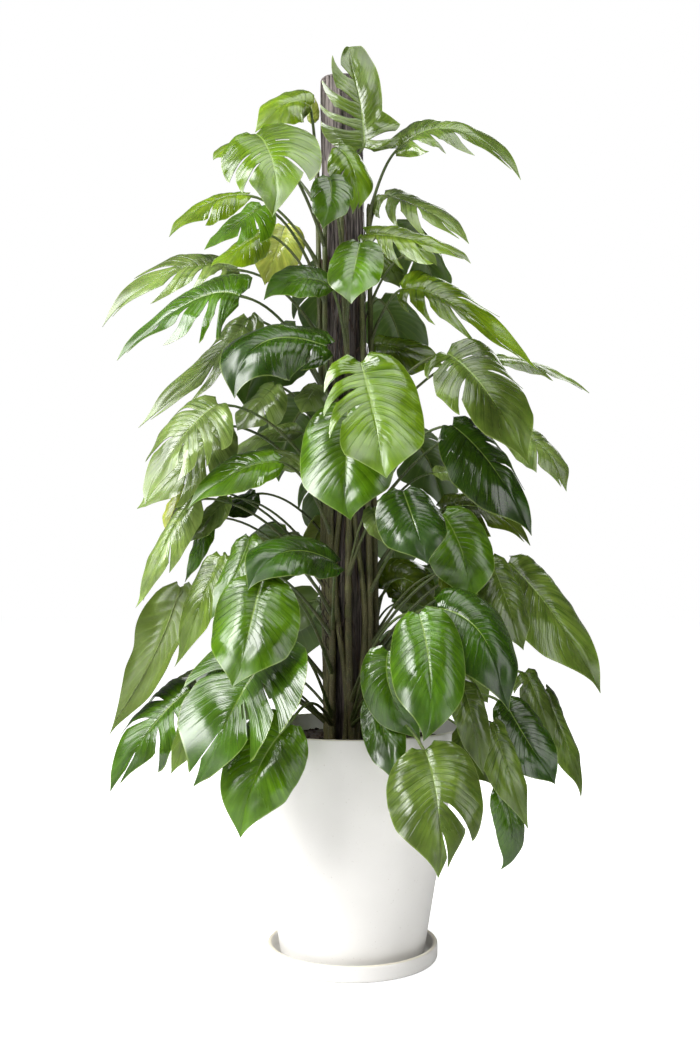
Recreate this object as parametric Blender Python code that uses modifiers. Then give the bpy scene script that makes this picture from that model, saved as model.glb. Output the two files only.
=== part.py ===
"""Potted dragon tail plant: leafy vines round a tree fern pole, in soil, in a tapered pot on a saucer.

Metres, +Z up. The origin is the centre of the saucer's underside, and the front faces -Y.
Leaves are placed as they are seen from the front, by their base, middle and tip.
"""

import math
from collections import namedtuple

import bmesh
import bpy
from mathutils import Vector

# Saucer
SAUCER_R = 0.140
SAUCER_H = 0.027
SAUCER_FLOOR = 0.006
SAUCER_WALL = 0.008

# Pot
POT_BASE_R = 0.1175
POT_RIM_R = 0.179
POT_RIM_Z = 0.380
POT_WALL = 0.006
POT_FLOOR = 0.010
DRAIN_R = 0.010
POT_STEPS = 32

# Soil, with its plain holes
SOIL_TOP = 0.352
SOIL_CROWN = 0.006
SOIL_SHOULDER = 0.090
POLE_HOLE_EXTRA = 0.0006
VINE_HOLE_EXTRA = 0.0016
HOLE_SIDES = 6
HOLE_TOP = 0.50
# The gap that pieces keep where they touch
SEAT = 0.0003

# Pole: a slightly flattened trunk of tree fern, leaning a little
POLE_X = 0.033
POLE_Y = 0.028
POLE_FOOT = 0.090
POLE_TOP = 1.444
POLE_SHIFT = -0.019
POLE_RIBS = 18
POLE_RIB_DEPTH = 0.0012
POLE_SWELL = 0.0006
POLE_RINGS = 4

# Vines and leaf stalks
VINE_R = 0.0062
VINE_GAP = 0.0016
VINE_TAPER = 0.35
VINE_FOOT = 0.300
VINE_STEPS = 7
VINE_WANDER = 5
VINE_WANDER_RATE = 9
STALK_R = 0.0027
STALK_TIP_R = 0.0020
STALK_STEPS = (0.0, 0.4, 0.8)
LOWEST_STALK = SOIL_TOP + 0.030
LEAST_RISE = 0.03
RISE_BY_REACH = 0.45

# Blades
BLADE = 0.0008
ROW_T = (0.0, 0.08, 0.18, 0.30, 0.46, 0.68, 1.0)
MIDDLE_ROW_T = (0.0, 0.10, 0.24, 0.42, 0.66, 1.0)
SMALL_ROW_T = (0.0, 0.13, 0.36, 0.66, 1.0)
MIDDLE_WIDTH = 72
SMALL_WIDTH = 46
LEAST_VISIBLE = 0.70
LOBE_BACK = 0.05
VEIN_SWEEP = 2.4
VEIN_BEND = 1.4
# The outline: round at the base, then tapering, less so on a broad leaf, to a drawn out tip
BASE_POWER = 0.40
BASE_ROUND = 0.005
BROAD_TAPER = 0.55
SLIM_TAPER = 0.80
BROAD_FROM = 0.62
SLIM_FROM = 0.36
TIP_SLIM = 0.90
TIP_FROM = 0.68
TIP_POWER = 1.6
# The bend: a twist round the midrib, a fold along it, sides that hang, and a waved margin
TWIST = 0.30
TWIST_FROM = 0.4
FOLD = 0.32
HANG_SPREAD = 0.3
EDGE_CURL = 0.07
WAVE = 0.035
WAVES = 9
BULGE = 0.05
# How much narrower a lobe starts, for each lobe on its side
LOBE_STEP = 0.08
# Where a leaf's narrow side gets narrow, and how soon
LEAN_FROM = 0.22
LEAN_RUN = 0.13

# Where the leaves are seen from
EYE_DISTANCE = 1.955
EYE_HEIGHT = 0.632
AXIS_PX = 352.5
HORIZON_PX = 572.0
METRES_PER_PX = 0.00165

# A leaf: base, middle and tip in pixels seen from the front, depth of base and tip in cm towards the
# viewer, full width in pixels, the way its upper face looks (azimuth from the front, elevation), the
# rows cut on its left and right, where the cuts start, how far they gape, how much the sides hang,
# how high the stalk arches, how far the tip is drawn out, and how much narrower its left side is.
Leaf = namedtuple(
    "Leaf",
    "name base mid tip depth width face left right start gap hang arch drip lean",
    defaults=((), (), 0.40, 0.05, 0.62, 0.16, 1.0, 0.0),
)

# A vine: its angle round the pole from the front, its height and its leaves.
Vine = namedtuple("Vine", "name angle top leaves")

FRONT = (
    Leaf("crown", (364, 148), (360, 100), (345, 47), (6, 4), 92, (0, 8), (1,), (2, 3, 4, 5), 0.15, 0.12,
         drip=0.0, lean=0.7),
    Leaf("neck_right", (338, 148), (354, 172), (354, 214), (10, 11), 45, (15, 30), (2,), (3,)),
    Leaf("neck", (329, 177), (331, 200), (322, 229), (14, 17.5), 46, (-5, 25), (2,), (2,)),
    Leaf("pale_chest", (360, 243), (354, 272), (349, 304), (16, 21), 58, (-10, 25)),
    Leaf("chest_left", (330, 286), (300, 279), (262, 298), (12.5, 15), 45, (-10, 40)),
    Leaf("heart_back", (348, 408), (346, 465), (345, 520), (14, 19), 102, (-5, 12)),
    Leaf("heart", (361, 362), (376, 425), (382, 478), (21, 29), 106, (5, 25), (1, 2, 3), (), 0.2, 0.06),
    Leaf("waist", (403, 491), (415, 525), (427, 564), (20, 24), 72, (10, 20)),
    Leaf("waist_pale", (372, 508), (378, 525), (386, 545), (16, 17.5), 24, (30, 20)),
    Leaf("lap", (388, 651), (392, 695), (423, 738), (21, 20), 60, (-10, 20)),
    Leaf("lap_low", (380, 696), (385, 739), (399, 784), (15.5, 24.5), 46, (-10, 25)),
    Leaf("knee", (419, 614), (430, 672), (429, 742), (25, 31), 80, (0, 20)),
    Leaf("pot_right", (425, 750), (438, 805), (441, 878), (26, 32.5), 102, (5, 12), (), (4, 5), 0.15, 0.09),
)

FRONT_LEFT = (
    Leaf("shoulder", (256, 134), (272, 160), (277, 216), (17.5, 25), 106, (-10, 35), (3, 4), (4,), 0.3, 0.06),
    Leaf("strap", (262, 206), (236, 225), (205, 250), (15, 17.5), 50, (-30, 35), (), (2, 3)),
    Leaf("arm", (240, 296), (190, 302), (117, 360), (15, 12.5), 76, (-20, 42), (4,), (2, 3, 4, 5),
         0.25, 0.09),
    Leaf("chest", (326, 346), (262, 343), (231, 398), (15, 20), 74, (-10, 35), (), (1,), 0.3, 0.04),
    Leaf("hand", (218, 404), (180, 440), (142, 503), (12.5, 14), 75, (-30, 30), (2, 4), (2, 3, 4),
         0.25, 0.09),
    Leaf("inner", (318, 385), (309, 398), (300, 413), (7.5, 9), 34, (-10, 20)),
    Leaf("elbow", (279, 462), (236, 472), (186, 508), (14, 16), 44, (-15, 40)),
    Leaf("hip", (336, 563), (285, 552), (247, 590), (17.5, 27.5), 56, (-10, 40)),
    Leaf("thigh_slim", (250, 537), (235, 575), (212, 620), (15, 17.5), 40, (-30, 20)),
    Leaf("thigh_glossy", (221, 556), (202, 600), (178, 669), (10, 11), 40, (-35, 20)),
    Leaf("thigh", (262, 580), (249, 630), (237, 688), (25, 31), 94, (-10, 25)),
    Leaf("skirt", (281, 643), (238, 700), (199, 789), (21, 26), 118, (-33, 30), (3, 5), (3, 4),
         0.2, 0.06, 0.24),
    Leaf("skirt_inner", (205, 694), (188, 732), (172, 775), (15, 16), 36, (-30, 20)),
    Leaf("pot_left", (290, 724), (258, 770), (240, 838), (22.5, 26), 82, (-12, 18)),
)

LEFT = (
    Leaf("ear", (310, 106), (286, 104), (257, 133), (0, 2), 50, (-10, 32)),
    Leaf("bud", (313, 122), (311, 106), (308, 91), (-3, -3), 14, (-20, 0), drip=0.5),
    Leaf("ear_low", (245, 150), (228, 148), (213, 160), (-3, -3), 32, (-10, 40)),
    Leaf("wing", (247, 195), (207, 204), (168, 236), (4, 5), 36, (-10, 50), (), (2,)),
    Leaf("wing_low", (262, 232), (238, 248), (210, 266), (5, 6), 36, (-20, 40)),
    Leaf("pale_back", (284, 226), (276, 252), (262, 284), (-1.5, 0), 52, (-10, 10)),
    Leaf("wing_long", (235, 270), (172, 272), (100, 324), (0, 1), 54, (-5, 42), (3,), (1, 2, 3, 4),
         0.25, 0.09),
    Leaf("streamer", (248, 318), (208, 365), (138, 427), (4, 6), 50, (-20, 45), (2,), (2, 3, 4), 0.3, 0.09),
    Leaf("fold", (275, 385), (255, 408), (238, 431), (3, 4), 45, (-20, 40), (), (2,)),
    Leaf("hand_back", (222, 425), (180, 470), (138, 511), (3, 4), 62, (-20, 40), (), (2, 3)),
    Leaf("pale_edge", (194, 498), (163, 548), (140, 610), (5, 6), 36, (-30, 25), (), (2,)),
    Leaf("slim_dark", (208, 517), (200, 545), (186, 583), (0, 0), 26, (-50, 20)),
    Leaf("sail", (180, 587), (155, 655), (107, 733), (3, 3), 52, (150, -15)),
    Leaf("hem", (190, 690), (152, 727), (110, 791), (5, 6), 70, (-25, 40), (2, 3), (2, 3, 4), 0.25, 0.10),
    Leaf("hem_inner", (203, 676), (182, 690), (162, 710), (2, 2), 30, (-20, 45)),
    Leaf("dark_notch", (229, 672), (212, 672), (198, 690), (7, 8), 30, (-20, 40)),
    Leaf("edge_back", (193, 489), (176, 508), (166, 534), (0, 1), 28, (-30, 30)),
    Leaf("slim_back", (228, 497), (208, 520), (187, 542), (2, 2), 26, (-30, 30)),
    Leaf("shoot_left", (301, 468), (282, 455), (260, 462), (4, 4), 22, (-15, 45)),
)

RIGHT = (
    Leaf("banner", (398, 149), (455, 130), (523, 178), (2, 3), 60, (10, 50), (1, 2, 3, 4), (), 0.3, 0.07),
    Leaf("comb", (384, 195), (424, 209), (470, 243), (-3.5, 2), 58, (10, 50), (1, 2, 3, 4), (2, 3),
         0.25, 0.09),
    Leaf("grey_tuft", (404, 256), (420, 250), (437, 266), (2, 2), 24, (10, 40)),
    Leaf("wing_right", (402, 289), (455, 305), (536, 372), (4, 5), 64, (15, 45), (1, 2, 3, 4), (2, 3),
         0.3, 0.07),
    Leaf("whip", (495, 358), (540, 367), (590, 394), (-8, -8), 34, (10, 70), (2, 3), (2,), 0.3, 0.08),
    Leaf("drape", (500, 425), (545, 450), (563, 492), (0, 0), 42, (20, 40), (2, 3), (), 0.3),
    Leaf("blade_edge", (434, 473), (462, 477), (502, 504), (-3, -3), 30, (10, 72)),
    Leaf("hip_right", (443, 510), (488, 510), (530, 546), (2, 2), 44, (15, 45), (2, 3), (), 0.3),
    Leaf("long_right", (508, 563), (552, 612), (602, 692), (4, 5), 68, (35, 30)),
    Leaf("behind_pole", (374, 345), (405, 350), (445, 366), (-6, -7), 44, (10, 30)),
    Leaf("round_dark", (385, 590), (408, 580), (433, 612), (-3, -2), 56, (10, 25)),
    Leaf("hem_right", (545, 690), (565, 740), (584, 797), (2, 2), 34, (45, 20)),
    Leaf("curl", (520, 618), (534, 622), (538, 645), (3, 3), 24, (10, 30)),
    Leaf("grey_back", (478, 588), (484, 603), (490, 622), (3, 3), 30, (15, 25)),
    Leaf("lobe_dark", (382, 258), (392, 270), (399, 288), (-1, -1), 26, (15, 25)),
    Leaf("wedge", (445, 572), (457, 588), (470, 603), (5, 5), 28, (10, 30)),
    Leaf("low_right", (455, 662), (473, 680), (486, 704), (3, 3), 34, (15, 25)),
)

FRONT_RIGHT = (
    Leaf("cuff", (366, 234), (420, 241), (472, 262), (11, 15), 52, (10, 45), (1, 2, 3, 4), (), 0.3, 0.08),
    Leaf("bough", (447, 353), (487, 392), (530, 464), (11, 15), 92, (25, 30), (1, 3), (2, 3), 0.3, 0.06),
    Leaf("dark_right", (452, 425), (495, 470), (531, 536), (10, 11), 68, (20, 35), (), (2, 3), 0.3, 0.07),
    Leaf("bright", (443, 514), (463, 555), (467, 602), (15, 16), 72, (10, 25)),
    Leaf("grey_hang", (490, 560), (508, 605), (520, 651), (11, 14), 50, (25, 20)),
    Leaf("dark_knee", (438, 608), (484, 638), (504, 712), (21, 24), 78, (15, 25)),
    Leaf("hang_a", (462, 684), (474, 725), (481, 776), (20, 21), 38, (20, 15)),
    Leaf("hang_b", (492, 722), (508, 770), (528, 831), (17.5, 19), 40, (25, 15)),
    Leaf("hang_c", (505, 702), (530, 745), (556, 783), (10, 11), 54, (25, 25)),
    Leaf("hang_d", (525, 672), (538, 700), (554, 747), (6, 5.5), 36, (30, 25), (1, 3)),
    Leaf("hang_f", (463, 728), (475, 758), (496, 784), (12.5, 14), 34, (15, 15)),
    Leaf("hang_e", (500, 786), (512, 830), (503, 872), (10, 11), 34, (20, 10), arch=0.45),
)

BACK_LEFT = (
    Leaf("shade_a", (299, 432), (260, 438), (221, 472), (-4, -4), 30, (-10, 60)),
    Leaf("shade_b", (256, 493), (238, 502), (212, 513), (-3, -3), 26, (-10, 50)),
    Leaf("shade_c", (316, 600), (290, 612), (278, 645), (-8, -9), 44, (190, 10)),
    Leaf("shade_e", (327, 520), (314, 540), (306, 566), (-4.5, -5), 30, (200, 10)),
)

BACK_RIGHT = (
    Leaf("shade_d", (395, 604), (412, 604), (432, 624), (-10, -11), 28, (170, 10)),
)

# Leaves on the side that the front view hides, placed by a rule: their spread round the pole, their
# lowest and highest base, their reach from the pole's middle, and their length, low and high.
HIDDEN_LEAVES = 7
HIDDEN_FROM = 118
HIDDEN_SPREAD = 60
HIDDEN_LOW = 0.47
HIDDEN_HIGH = 1.22
HIDDEN_REACH = (0.175, 0.095)
HIDDEN_LENGTH = (0.235, 0.175)
GOLDEN = 0.618034


def looking(azimuth, elevation):
    """A direction from its angle round from the front and its height."""
    turn, lift = math.radians(azimuth), math.radians(elevation)
    return Vector((math.cos(lift) * math.sin(turn), -math.cos(lift) * math.cos(turn), math.sin(lift)))


def pixel_of(place):
    """The pixel and the depth in cm that show a place."""
    scale = METRES_PER_PX * (EYE_DISTANCE + place.y) / EYE_DISTANCE
    return (AXIS_PX + place.x / scale, HORIZON_PX - (place.z - EYE_HEIGHT) / scale), -100 * place.y


def hidden_leaves(side, start):
    """Leaves up one back vine, each turned on by the golden ratio."""
    leaves = []
    for k in range(HIDDEN_LEAVES):
        share = (k + start) / (HIDDEN_LEAVES - 0.5)
        azimuth = side * (HIDDEN_FROM + HIDDEN_SPREAD * ((k * GOLDEN + start) % 1.0))
        reach = HIDDEN_REACH[0] + (HIDDEN_REACH[1] - HIDDEN_REACH[0]) * share
        length = HIDDEN_LENGTH[0] + (HIDDEN_LENGTH[1] - HIDDEN_LENGTH[0]) * share
        height = Vector((0, 0, HIDDEN_LOW + (HIDDEN_HIGH - HIDDEN_LOW) * share))
        out = looking(azimuth, 0)
        base = height + out * reach
        middle = base + out * length * 0.38 - Vector((0, 0, length * 0.22))
        tip = base + out * length * 0.62 - Vector((0, 0, length * 0.68))
        spots = [pixel_of(spot) for spot in (base, middle, tip)]
        width = length * 0.60 / METRES_PER_PX
        cuts = ((), ()) if k % 3 else ((2,), (3,))
        pixels, depths = [spot[0] for spot in spots], (spots[0][1], spots[2][1])
        leaves.append(Leaf(f"hidden_{k}", *pixels, depths, width, (azimuth, 40), *cuts, 0.3))
    return tuple(leaves)


VINES = (
    Vine("vine_front", 0, 1.26, FRONT),
    Vine("vine_front_left", -48, 1.22, FRONT_LEFT),
    Vine("vine_left", -92, 1.30, LEFT),
    Vine("vine_back_left", -146, 1.24, BACK_LEFT + hidden_leaves(-1, 0.0)),
    Vine("vine_back_right", 148, 1.28, BACK_RIGHT + hidden_leaves(1, 0.5)),
    Vine("vine_right", 92, 1.24, RIGHT),
    Vine("vine_front_right", 46, 1.18, FRONT_RIGHT),
)

COLOURS = {
    "glaze": ((0.86, 0.85, 0.83), 0.35),
    "soil": ((0.035, 0.022, 0.015), 0.95),
    "fern": ((0.075, 0.050, 0.038), 0.90),
    "leaf": ((0.105, 0.235, 0.040), 0.35),
}


def material(name):
    """One plain material of the part."""
    colour, rough = COLOURS[name]
    made = bpy.data.materials.get(name) or bpy.data.materials.new(name)
    made.use_nodes = True
    shader = made.node_tree.nodes["Principled BSDF"]
    shader.inputs["Base Color"].default_value = (*colour, 1.0)
    shader.inputs["Roughness"].default_value = rough
    return made


def add_object(name, mesh, collection, finish=None):
    """Puts a mesh in the scene as one object."""
    made = bpy.data.objects.new(name, mesh)
    collection.objects.link(made)
    if finish:
        mesh.materials.clear()
        mesh.materials.append(material(finish))
    return made


def seen_at(pixel, depth_cm):
    """The place that a pixel shows, at a depth towards the viewer."""
    depth = depth_cm / 100
    scale = METRES_PER_PX * (EYE_DISTANCE - depth) / EYE_DISTANCE
    return Vector(((pixel[0] - AXIS_PX) * scale, -depth, EYE_HEIGHT + (HORIZON_PX - pixel[1]) * scale))


def pole_centre(z):
    """The middle of the pole at a height: it leans a little to the left."""
    straight = SOIL_TOP + SOIL_CROWN + 0.002
    share = (z - straight) / (POLE_TOP - straight)
    return Vector((POLE_SHIFT * max(share, 0.0), 0.0, z))


def vine_point(vine, z):
    """The middle of a vine at a height, just clear of the pole, wandering a little."""
    wander = math.sin(max(z, SOIL_TOP + SOIL_CROWN) * VINE_WANDER_RATE + vine.angle)
    angle = math.radians(vine.angle + VINE_WANDER * wander)
    clear = VINE_R + VINE_GAP + POLE_RIB_DEPTH
    offset = Vector(((POLE_X + clear) * math.sin(angle), -(POLE_Y + clear) * math.cos(angle), 0.0))
    return pole_centre(z) + offset


class Blade:
    """The bent surface of one leaf, by its place along the midrib and out from it."""

    def __init__(self, leaf, number):
        self.leaf = leaf
        self.phase = number * 2.4
        self.base = seen_at(leaf.base, leaf.depth[0])
        self.tip = seen_at(leaf.tip, leaf.depth[1])
        self.face = looking(*leaf.face)
        bulge = BULGE * (self.tip - self.base).length * abs(self.face.y)
        middle = seen_at(leaf.mid, sum(leaf.depth) / 2 + 100 * bulge)
        self.handle = middle * 2 - (self.base + self.tip) / 2
        scale = METRES_PER_PX * (EYE_DISTANCE - leaf.depth[0] / 100) / EYE_DISTANCE
        out = self.along(0.5).cross(self.face).normalized()
        self.half = leaf.width / 2 * scale / max(math.hypot(out.x, out.z), LEAST_VISIBLE)
        slimness = (BROAD_FROM - 2 * self.half / (self.tip - self.base).length) / (BROAD_FROM - SLIM_FROM)
        self.taper = BROAD_TAPER + (SLIM_TAPER - BROAD_TAPER) * min(max(slimness, 0.0), 1.0)
        self.twist = TWIST * math.sin(2 * self.phase + leaf.width)
        self.hang = leaf.hang * (1 + HANG_SPREAD * math.sin(3 * self.phase + leaf.width))

    def rib(self, a):
        """A point of the midrib, straight behind the base."""
        if a < 0:
            return self.base + (self.handle - self.base) * 2 * a
        return self.base * (1 - a) ** 2 + self.handle * (2 * a * (1 - a)) + self.tip * a**2

    def along(self, a):
        """The midrib's direction."""
        a = min(max(a, 0.0), 1.0)
        return ((self.handle - self.base) * (1 - a) + (self.tip - self.handle) * a).normalized()

    def half_width(self, e, side):
        """The width of one side at a share of the leaf's length, down to its drawn out tip."""
        u = (e + LOBE_BACK) / (1 + LOBE_BACK)
        if u >= 1:
            return 0.0
        widest = (BASE_POWER - self.taper * BASE_ROUND) / (BASE_POWER + self.taper)
        full = (widest + BASE_ROUND) ** BASE_POWER * (1 - widest) ** self.taper
        slim = 1 - self.leaf.drip * TIP_SLIM * max(0.0, (u - TIP_FROM) / (1 - TIP_FROM)) ** TIP_POWER
        if side > 0:
            slim *= 1 - self.leaf.lean * min(max((e - LEAN_FROM) / LEAN_RUN, 0.0), 1.0) * (1 - e) ** 0.5
        return self.half * (u + BASE_ROUND) ** BASE_POWER * (1 - u) ** self.taper / full * slim

    def point(self, a, b, side, edge):
        """A point of the surface: b metres out from the midrib, edge from 0 at the rib to 1."""
        along = self.along(a)
        turn = self.twist * (a - TWIST_FROM)
        flat = along.cross(self.face).normalized()
        out = flat * math.cos(turn) + flat.cross(along) * math.sin(turn)
        up = out.cross(along)
        share = b / self.half
        lift = FOLD * b - self.hang * b * share
        wave = WAVE * self.half * edge**2 * math.sin(WAVES * a + self.phase + side)
        return self.rib(a) + out * side * b * (1 - EDGE_CURL * share**2) + up * (lift + wave)


def rows_of(leaf):
    """Where the leaf's grid rows leave the midrib: a small leaf has fewer."""
    if leaf.width < SMALL_WIDTH:
        return SMALL_ROW_T
    return MIDDLE_ROW_T if leaf.width < MIDDLE_WIDTH else ROW_T


def columns_of(leaf):
    """How far out the leaf's grid columns lie, from the midrib to the margin."""
    plain = leaf.width < SMALL_WIDTH and not (leaf.left or leaf.right)
    return (0.0, 1.0) if plain else (0.0, leaf.start, 1.0)


def vein_end(t):
    """Where the side vein that leaves the midrib at t meets the margin."""
    return -LOBE_BACK + (1 + LOBE_BACK) * (1 - (1 - t) ** VEIN_SWEEP)


def place_on_blade(blade, row, column, side, shift):
    """One grid point, with a cut's edges moved apart by shift."""
    t = rows_of(blade.leaf)[row]
    end = vein_end(t)
    lobes = 1 + len(cut_rows(blade.leaf, side))
    edge = columns_of(blade.leaf)[column] * (1 - LOBE_STEP * lobes * (shift > 0))
    a = t + (end - t) * edge**VEIN_BEND + shift * blade.leaf.gap
    return blade.point(a, blade.half_width(end, side) * edge, side, edge)


def cut_rows(leaf, column):
    """The rows cut on this side of the midrib."""
    return leaf.left if column > 0 else leaf.right


def blade_mesh(blade):
    """The leaf's surface: a grid whose rows follow the side veins, cut at the margins and bent."""
    last = len(rows_of(blade.leaf)) - 1
    wide = len(columns_of(blade.leaf)) - 1
    shape = bmesh.new()
    bmesh.ops.create_grid(shape, x_segments=2 * wide, y_segments=last, size=1.0)
    row_layer = shape.verts.layers.int.new("row")
    column_layer = shape.verts.layers.int.new("column")
    for v in shape.verts:
        v[row_layer] = round((v.co.y + 1) / 2 * last)
        v[column_layer] = round(v.co.x * wide)
    opened = []
    for edge in shape.edges:
        row_a, row_b = (v[row_layer] for v in edge.verts)
        columns = [v[column_layer] for v in edge.verts]
        at_margin = {abs(c) for c in columns} == {wide - 1, wide}
        if row_a == row_b and at_margin and row_a in cut_rows(blade.leaf, sum(columns)):
            opened.append(edge)
    bmesh.ops.split_edges(shape, edges=opened)
    centre_row = {f: sum(v[row_layer] for v in f.verts) / len(f.verts) for f in shape.faces}
    places = {}
    for v in shape.verts:
        row, column = v[row_layer], v[column_layer]
        shift = 0.0
        if abs(column) == wide and row in cut_rows(blade.leaf, column):
            faces_row = sum(centre_row[f] for f in v.link_faces) / len(v.link_faces)
            shift = math.copysign(0.5, faces_row - row)
        side = 1 if column > 0 else -1
        places[v] = place_on_blade(blade, row, abs(column), side, shift)
    for v, place in places.items():
        v.co = place
    bmesh.ops.remove_doubles(shape, verts=shape.verts, dist=1e-6)
    bmesh.ops.triangulate(shape, faces=shape.faces, quad_method="SHORT_EDGE")
    mesh = bpy.data.meshes.new("blade")
    shape.to_mesh(mesh)
    shape.free()
    return mesh


def tube(name, points, radii, collection):
    """A closed round bar along points, as a mesh."""
    curve = bpy.data.curves.new(name, "CURVE")
    curve.dimensions = "3D"
    curve.bevel_depth = 1.0
    curve.bevel_resolution = 1
    curve.use_fill_caps = True
    line = curve.splines.new("POLY")
    line.points.add(len(points) - 1)
    for spot, point, radius in zip(line.points, points, radii):
        spot.co = (*point, 1.0)
        spot.radius = radius
    guide = bpy.data.objects.new(name, curve)
    collection.objects.link(guide)
    graph = bpy.context.evaluated_depsgraph_get()
    mesh = bpy.data.meshes.new_from_object(guide.evaluated_get(graph))
    bpy.data.objects.remove(guide)
    shape = bmesh.new()
    shape.from_mesh(mesh)
    bmesh.ops.remove_doubles(shape, verts=shape.verts, dist=1e-6)
    bmesh.ops.recalc_face_normals(shape, faces=shape.faces)
    shape.to_mesh(mesh)
    shape.free()
    return add_object(name, mesh, collection)


def stalk(name, points, radii, collection):
    """A three-sided tapered bar along a leaf stalk's route."""
    reach = points[-1] - points[0]
    upright = abs(reach.z) > 0.9 * reach.length
    sideways = reach.cross(Vector((1, 0, 0) if upright else (0, 0, 1))).normalized()
    shape = bmesh.new()
    bmesh.ops.create_cone(shape, cap_ends=True, segments=3, radius1=1.0, radius2=1.0, depth=1.0)
    lengthwise = [e for e in shape.edges if abs(e.verts[0].co.z - e.verts[1].co.z) > 0.5]
    bmesh.ops.subdivide_edges(shape, edges=lengthwise, cuts=len(points) - 2)
    for v in shape.verts:
        k = round((v.co.z + 0.5) * (len(points) - 1))
        ahead = points[min(k + 1, len(points) - 1)] - points[max(k - 1, 0)]
        over = ahead.cross(sideways).normalized()
        v.co = points[k] + (sideways * v.co.x + over * v.co.y) * radii[k]
    mesh = bpy.data.meshes.new(name)
    shape.to_mesh(mesh)
    shape.free()
    return add_object(name, mesh, collection)


def stalk_points(vine, blade):
    """A leaf stalk's route: up and out from the vine, over to the blade."""
    end = blade.base
    run = math.hypot(end.x - pole_centre(end.z).x, end.y)
    start_z = min(max(end.z - LEAST_RISE - RISE_BY_REACH * run, LOWEST_STALK), vine.top - 0.02)
    start = vine_point(vine, start_z)
    bend = (start + end) / 2 + Vector((0, 0, blade.leaf.arch * (end - start).length))
    handle = bend * 2 - (start + end) / 2
    route = [start * (1 - t) ** 2 + handle * (2 * t * (1 - t)) + end * t**2 for t in STALK_STEPS]
    return route + [blade.rib(0.03)]


def keep_outer_shell(mesh):
    """Fills the sealed hollows that joining leaves: each is a small shell apart from the outer one."""
    shape = bmesh.new()
    shape.from_mesh(mesh)
    unseen = set(shape.verts)
    shells = []
    while unseen:
        shell = []
        waiting = [unseen.pop()]
        while waiting:
            v = waiting.pop()
            shell.append(v)
            new = [e.other_vert(v) for e in v.link_edges if e.other_vert(v) in unseen]
            unseen.difference_update(new)
            waiting.extend(new)
        shells.append(shell)
    shells.sort(key=len)
    for shell in shells[:-1]:
        bmesh.ops.delete(shape, geom=shell, context="VERTS")
    shape.to_mesh(mesh)
    shape.free()


def join_all(base, repeats):
    """One solid from the base object and everything in a collection, which is then removed."""
    union = base.modifiers.new("join", "BOOLEAN")
    union.operation = "UNION"
    union.solver = "MANIFOLD"
    union.operand_type = "COLLECTION"
    union.collection = repeats
    graph = bpy.context.evaluated_depsgraph_get()
    joined = bpy.data.meshes.new_from_object(base.evaluated_get(graph))
    base.modifiers.clear()
    keep_outer_shell(joined)
    base.data = joined
    for made in list(repeats.objects):
        bpy.data.objects.remove(made)
    bpy.data.collections.remove(repeats)


def leafy_vine(vine, parts):
    """A vine up the pole with all its stalks and leaves, as one solid."""
    low = SOIL_TOP + SOIL_CROWN
    heights = [VINE_FOOT] + [low + (vine.top - low) * k / VINE_STEPS for k in range(VINE_STEPS + 1)]
    radii = [VINE_R] + [VINE_R * (1 - VINE_TAPER * k / VINE_STEPS) for k in range(VINE_STEPS + 1)]
    stem = tube(vine.name, [vine_point(vine, z) for z in heights], radii, parts)
    stem.data.materials.append(material("leaf"))
    repeats = bpy.data.collections.new(vine.name + "_leaves")
    bpy.context.scene.collection.children.link(repeats)
    for number, leaf in enumerate(vine.leaves):
        blade = Blade(leaf, number)
        surface = add_object(vine.name + "_" + leaf.name, blade_mesh(blade), repeats)
        skin = surface.modifiers.new("thickness", "SOLIDIFY")
        skin.thickness = BLADE
        skin.offset = 0.0
        route = stalk_points(vine, blade)
        thin = (STALK_R, STALK_R, STALK_TIP_R, 0.7 * STALK_TIP_R)
        stalk(vine.name + "_stalk_" + leaf.name, route, thin, repeats)
    join_all(stem, repeats)
    return stem


def turned(name, profile, parts, finish, steps=POT_STEPS, closed=True):
    """A shape turned round the upright axis: the profile runs down its outer side."""
    shape = bmesh.new()
    spots = [shape.verts.new((r, 0.0, z)) for r, z in profile]
    ends = spots[1:] + spots[:1] if closed else spots[1:]
    for a, b in zip(spots, ends):
        shape.edges.new((a, b))
    mesh = bpy.data.meshes.new(name)
    shape.to_mesh(mesh)
    shape.free()
    made = add_object(name, mesh, parts, finish)
    screw = made.modifiers.new("turn", "SCREW")
    screw.steps = steps
    screw.render_steps = steps
    screw.use_merge_vertices = True
    screw.merge_threshold = 0.00001
    return made


def saucer(parts):
    """The shallow saucer, with an upright wall rounded at its rim and foot."""
    outer, inner = SAUCER_R, SAUCER_R - SAUCER_WALL
    profile = (
        (0.0, SAUCER_FLOOR),
        (inner - 0.002, SAUCER_FLOOR),
        (inner, SAUCER_H - 0.002),
        (inner + 0.003, SAUCER_H),
        (outer - 0.003, SAUCER_H),
        (outer, SAUCER_H - 0.003),
        (outer, 0.006),
        (outer - 0.006, 0.0),
        (0.0, 0.0),
    )
    return turned("saucer", profile, parts, "glaze", closed=False)


def pot_radius(z):
    """The pot's outer radius: a straight taper."""
    foot = SAUCER_FLOOR + SEAT
    return POT_BASE_R + (POT_RIM_R - POT_BASE_R) * (z - foot) / (POT_RIM_Z - foot)


def pot(parts):
    """The tapered pot with a plain rim and one drain hole."""
    foot = SAUCER_FLOOR + SEAT
    floor = foot + POT_FLOOR
    profile = (
        (POT_RIM_R - POT_WALL + 0.001, POT_RIM_Z),
        (POT_RIM_R - 0.001, POT_RIM_Z),
        (POT_RIM_R, POT_RIM_Z - 0.001),
        (POT_BASE_R + 0.0008, foot + 0.005),
        (POT_BASE_R - 0.004, foot),
        (DRAIN_R, foot),
        (DRAIN_R, floor),
        (pot_radius(floor) - POT_WALL, floor),
        (POT_RIM_R - POT_WALL, POT_RIM_Z - 0.001),
    )
    return turned("pot", profile, parts, "glaze")


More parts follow.
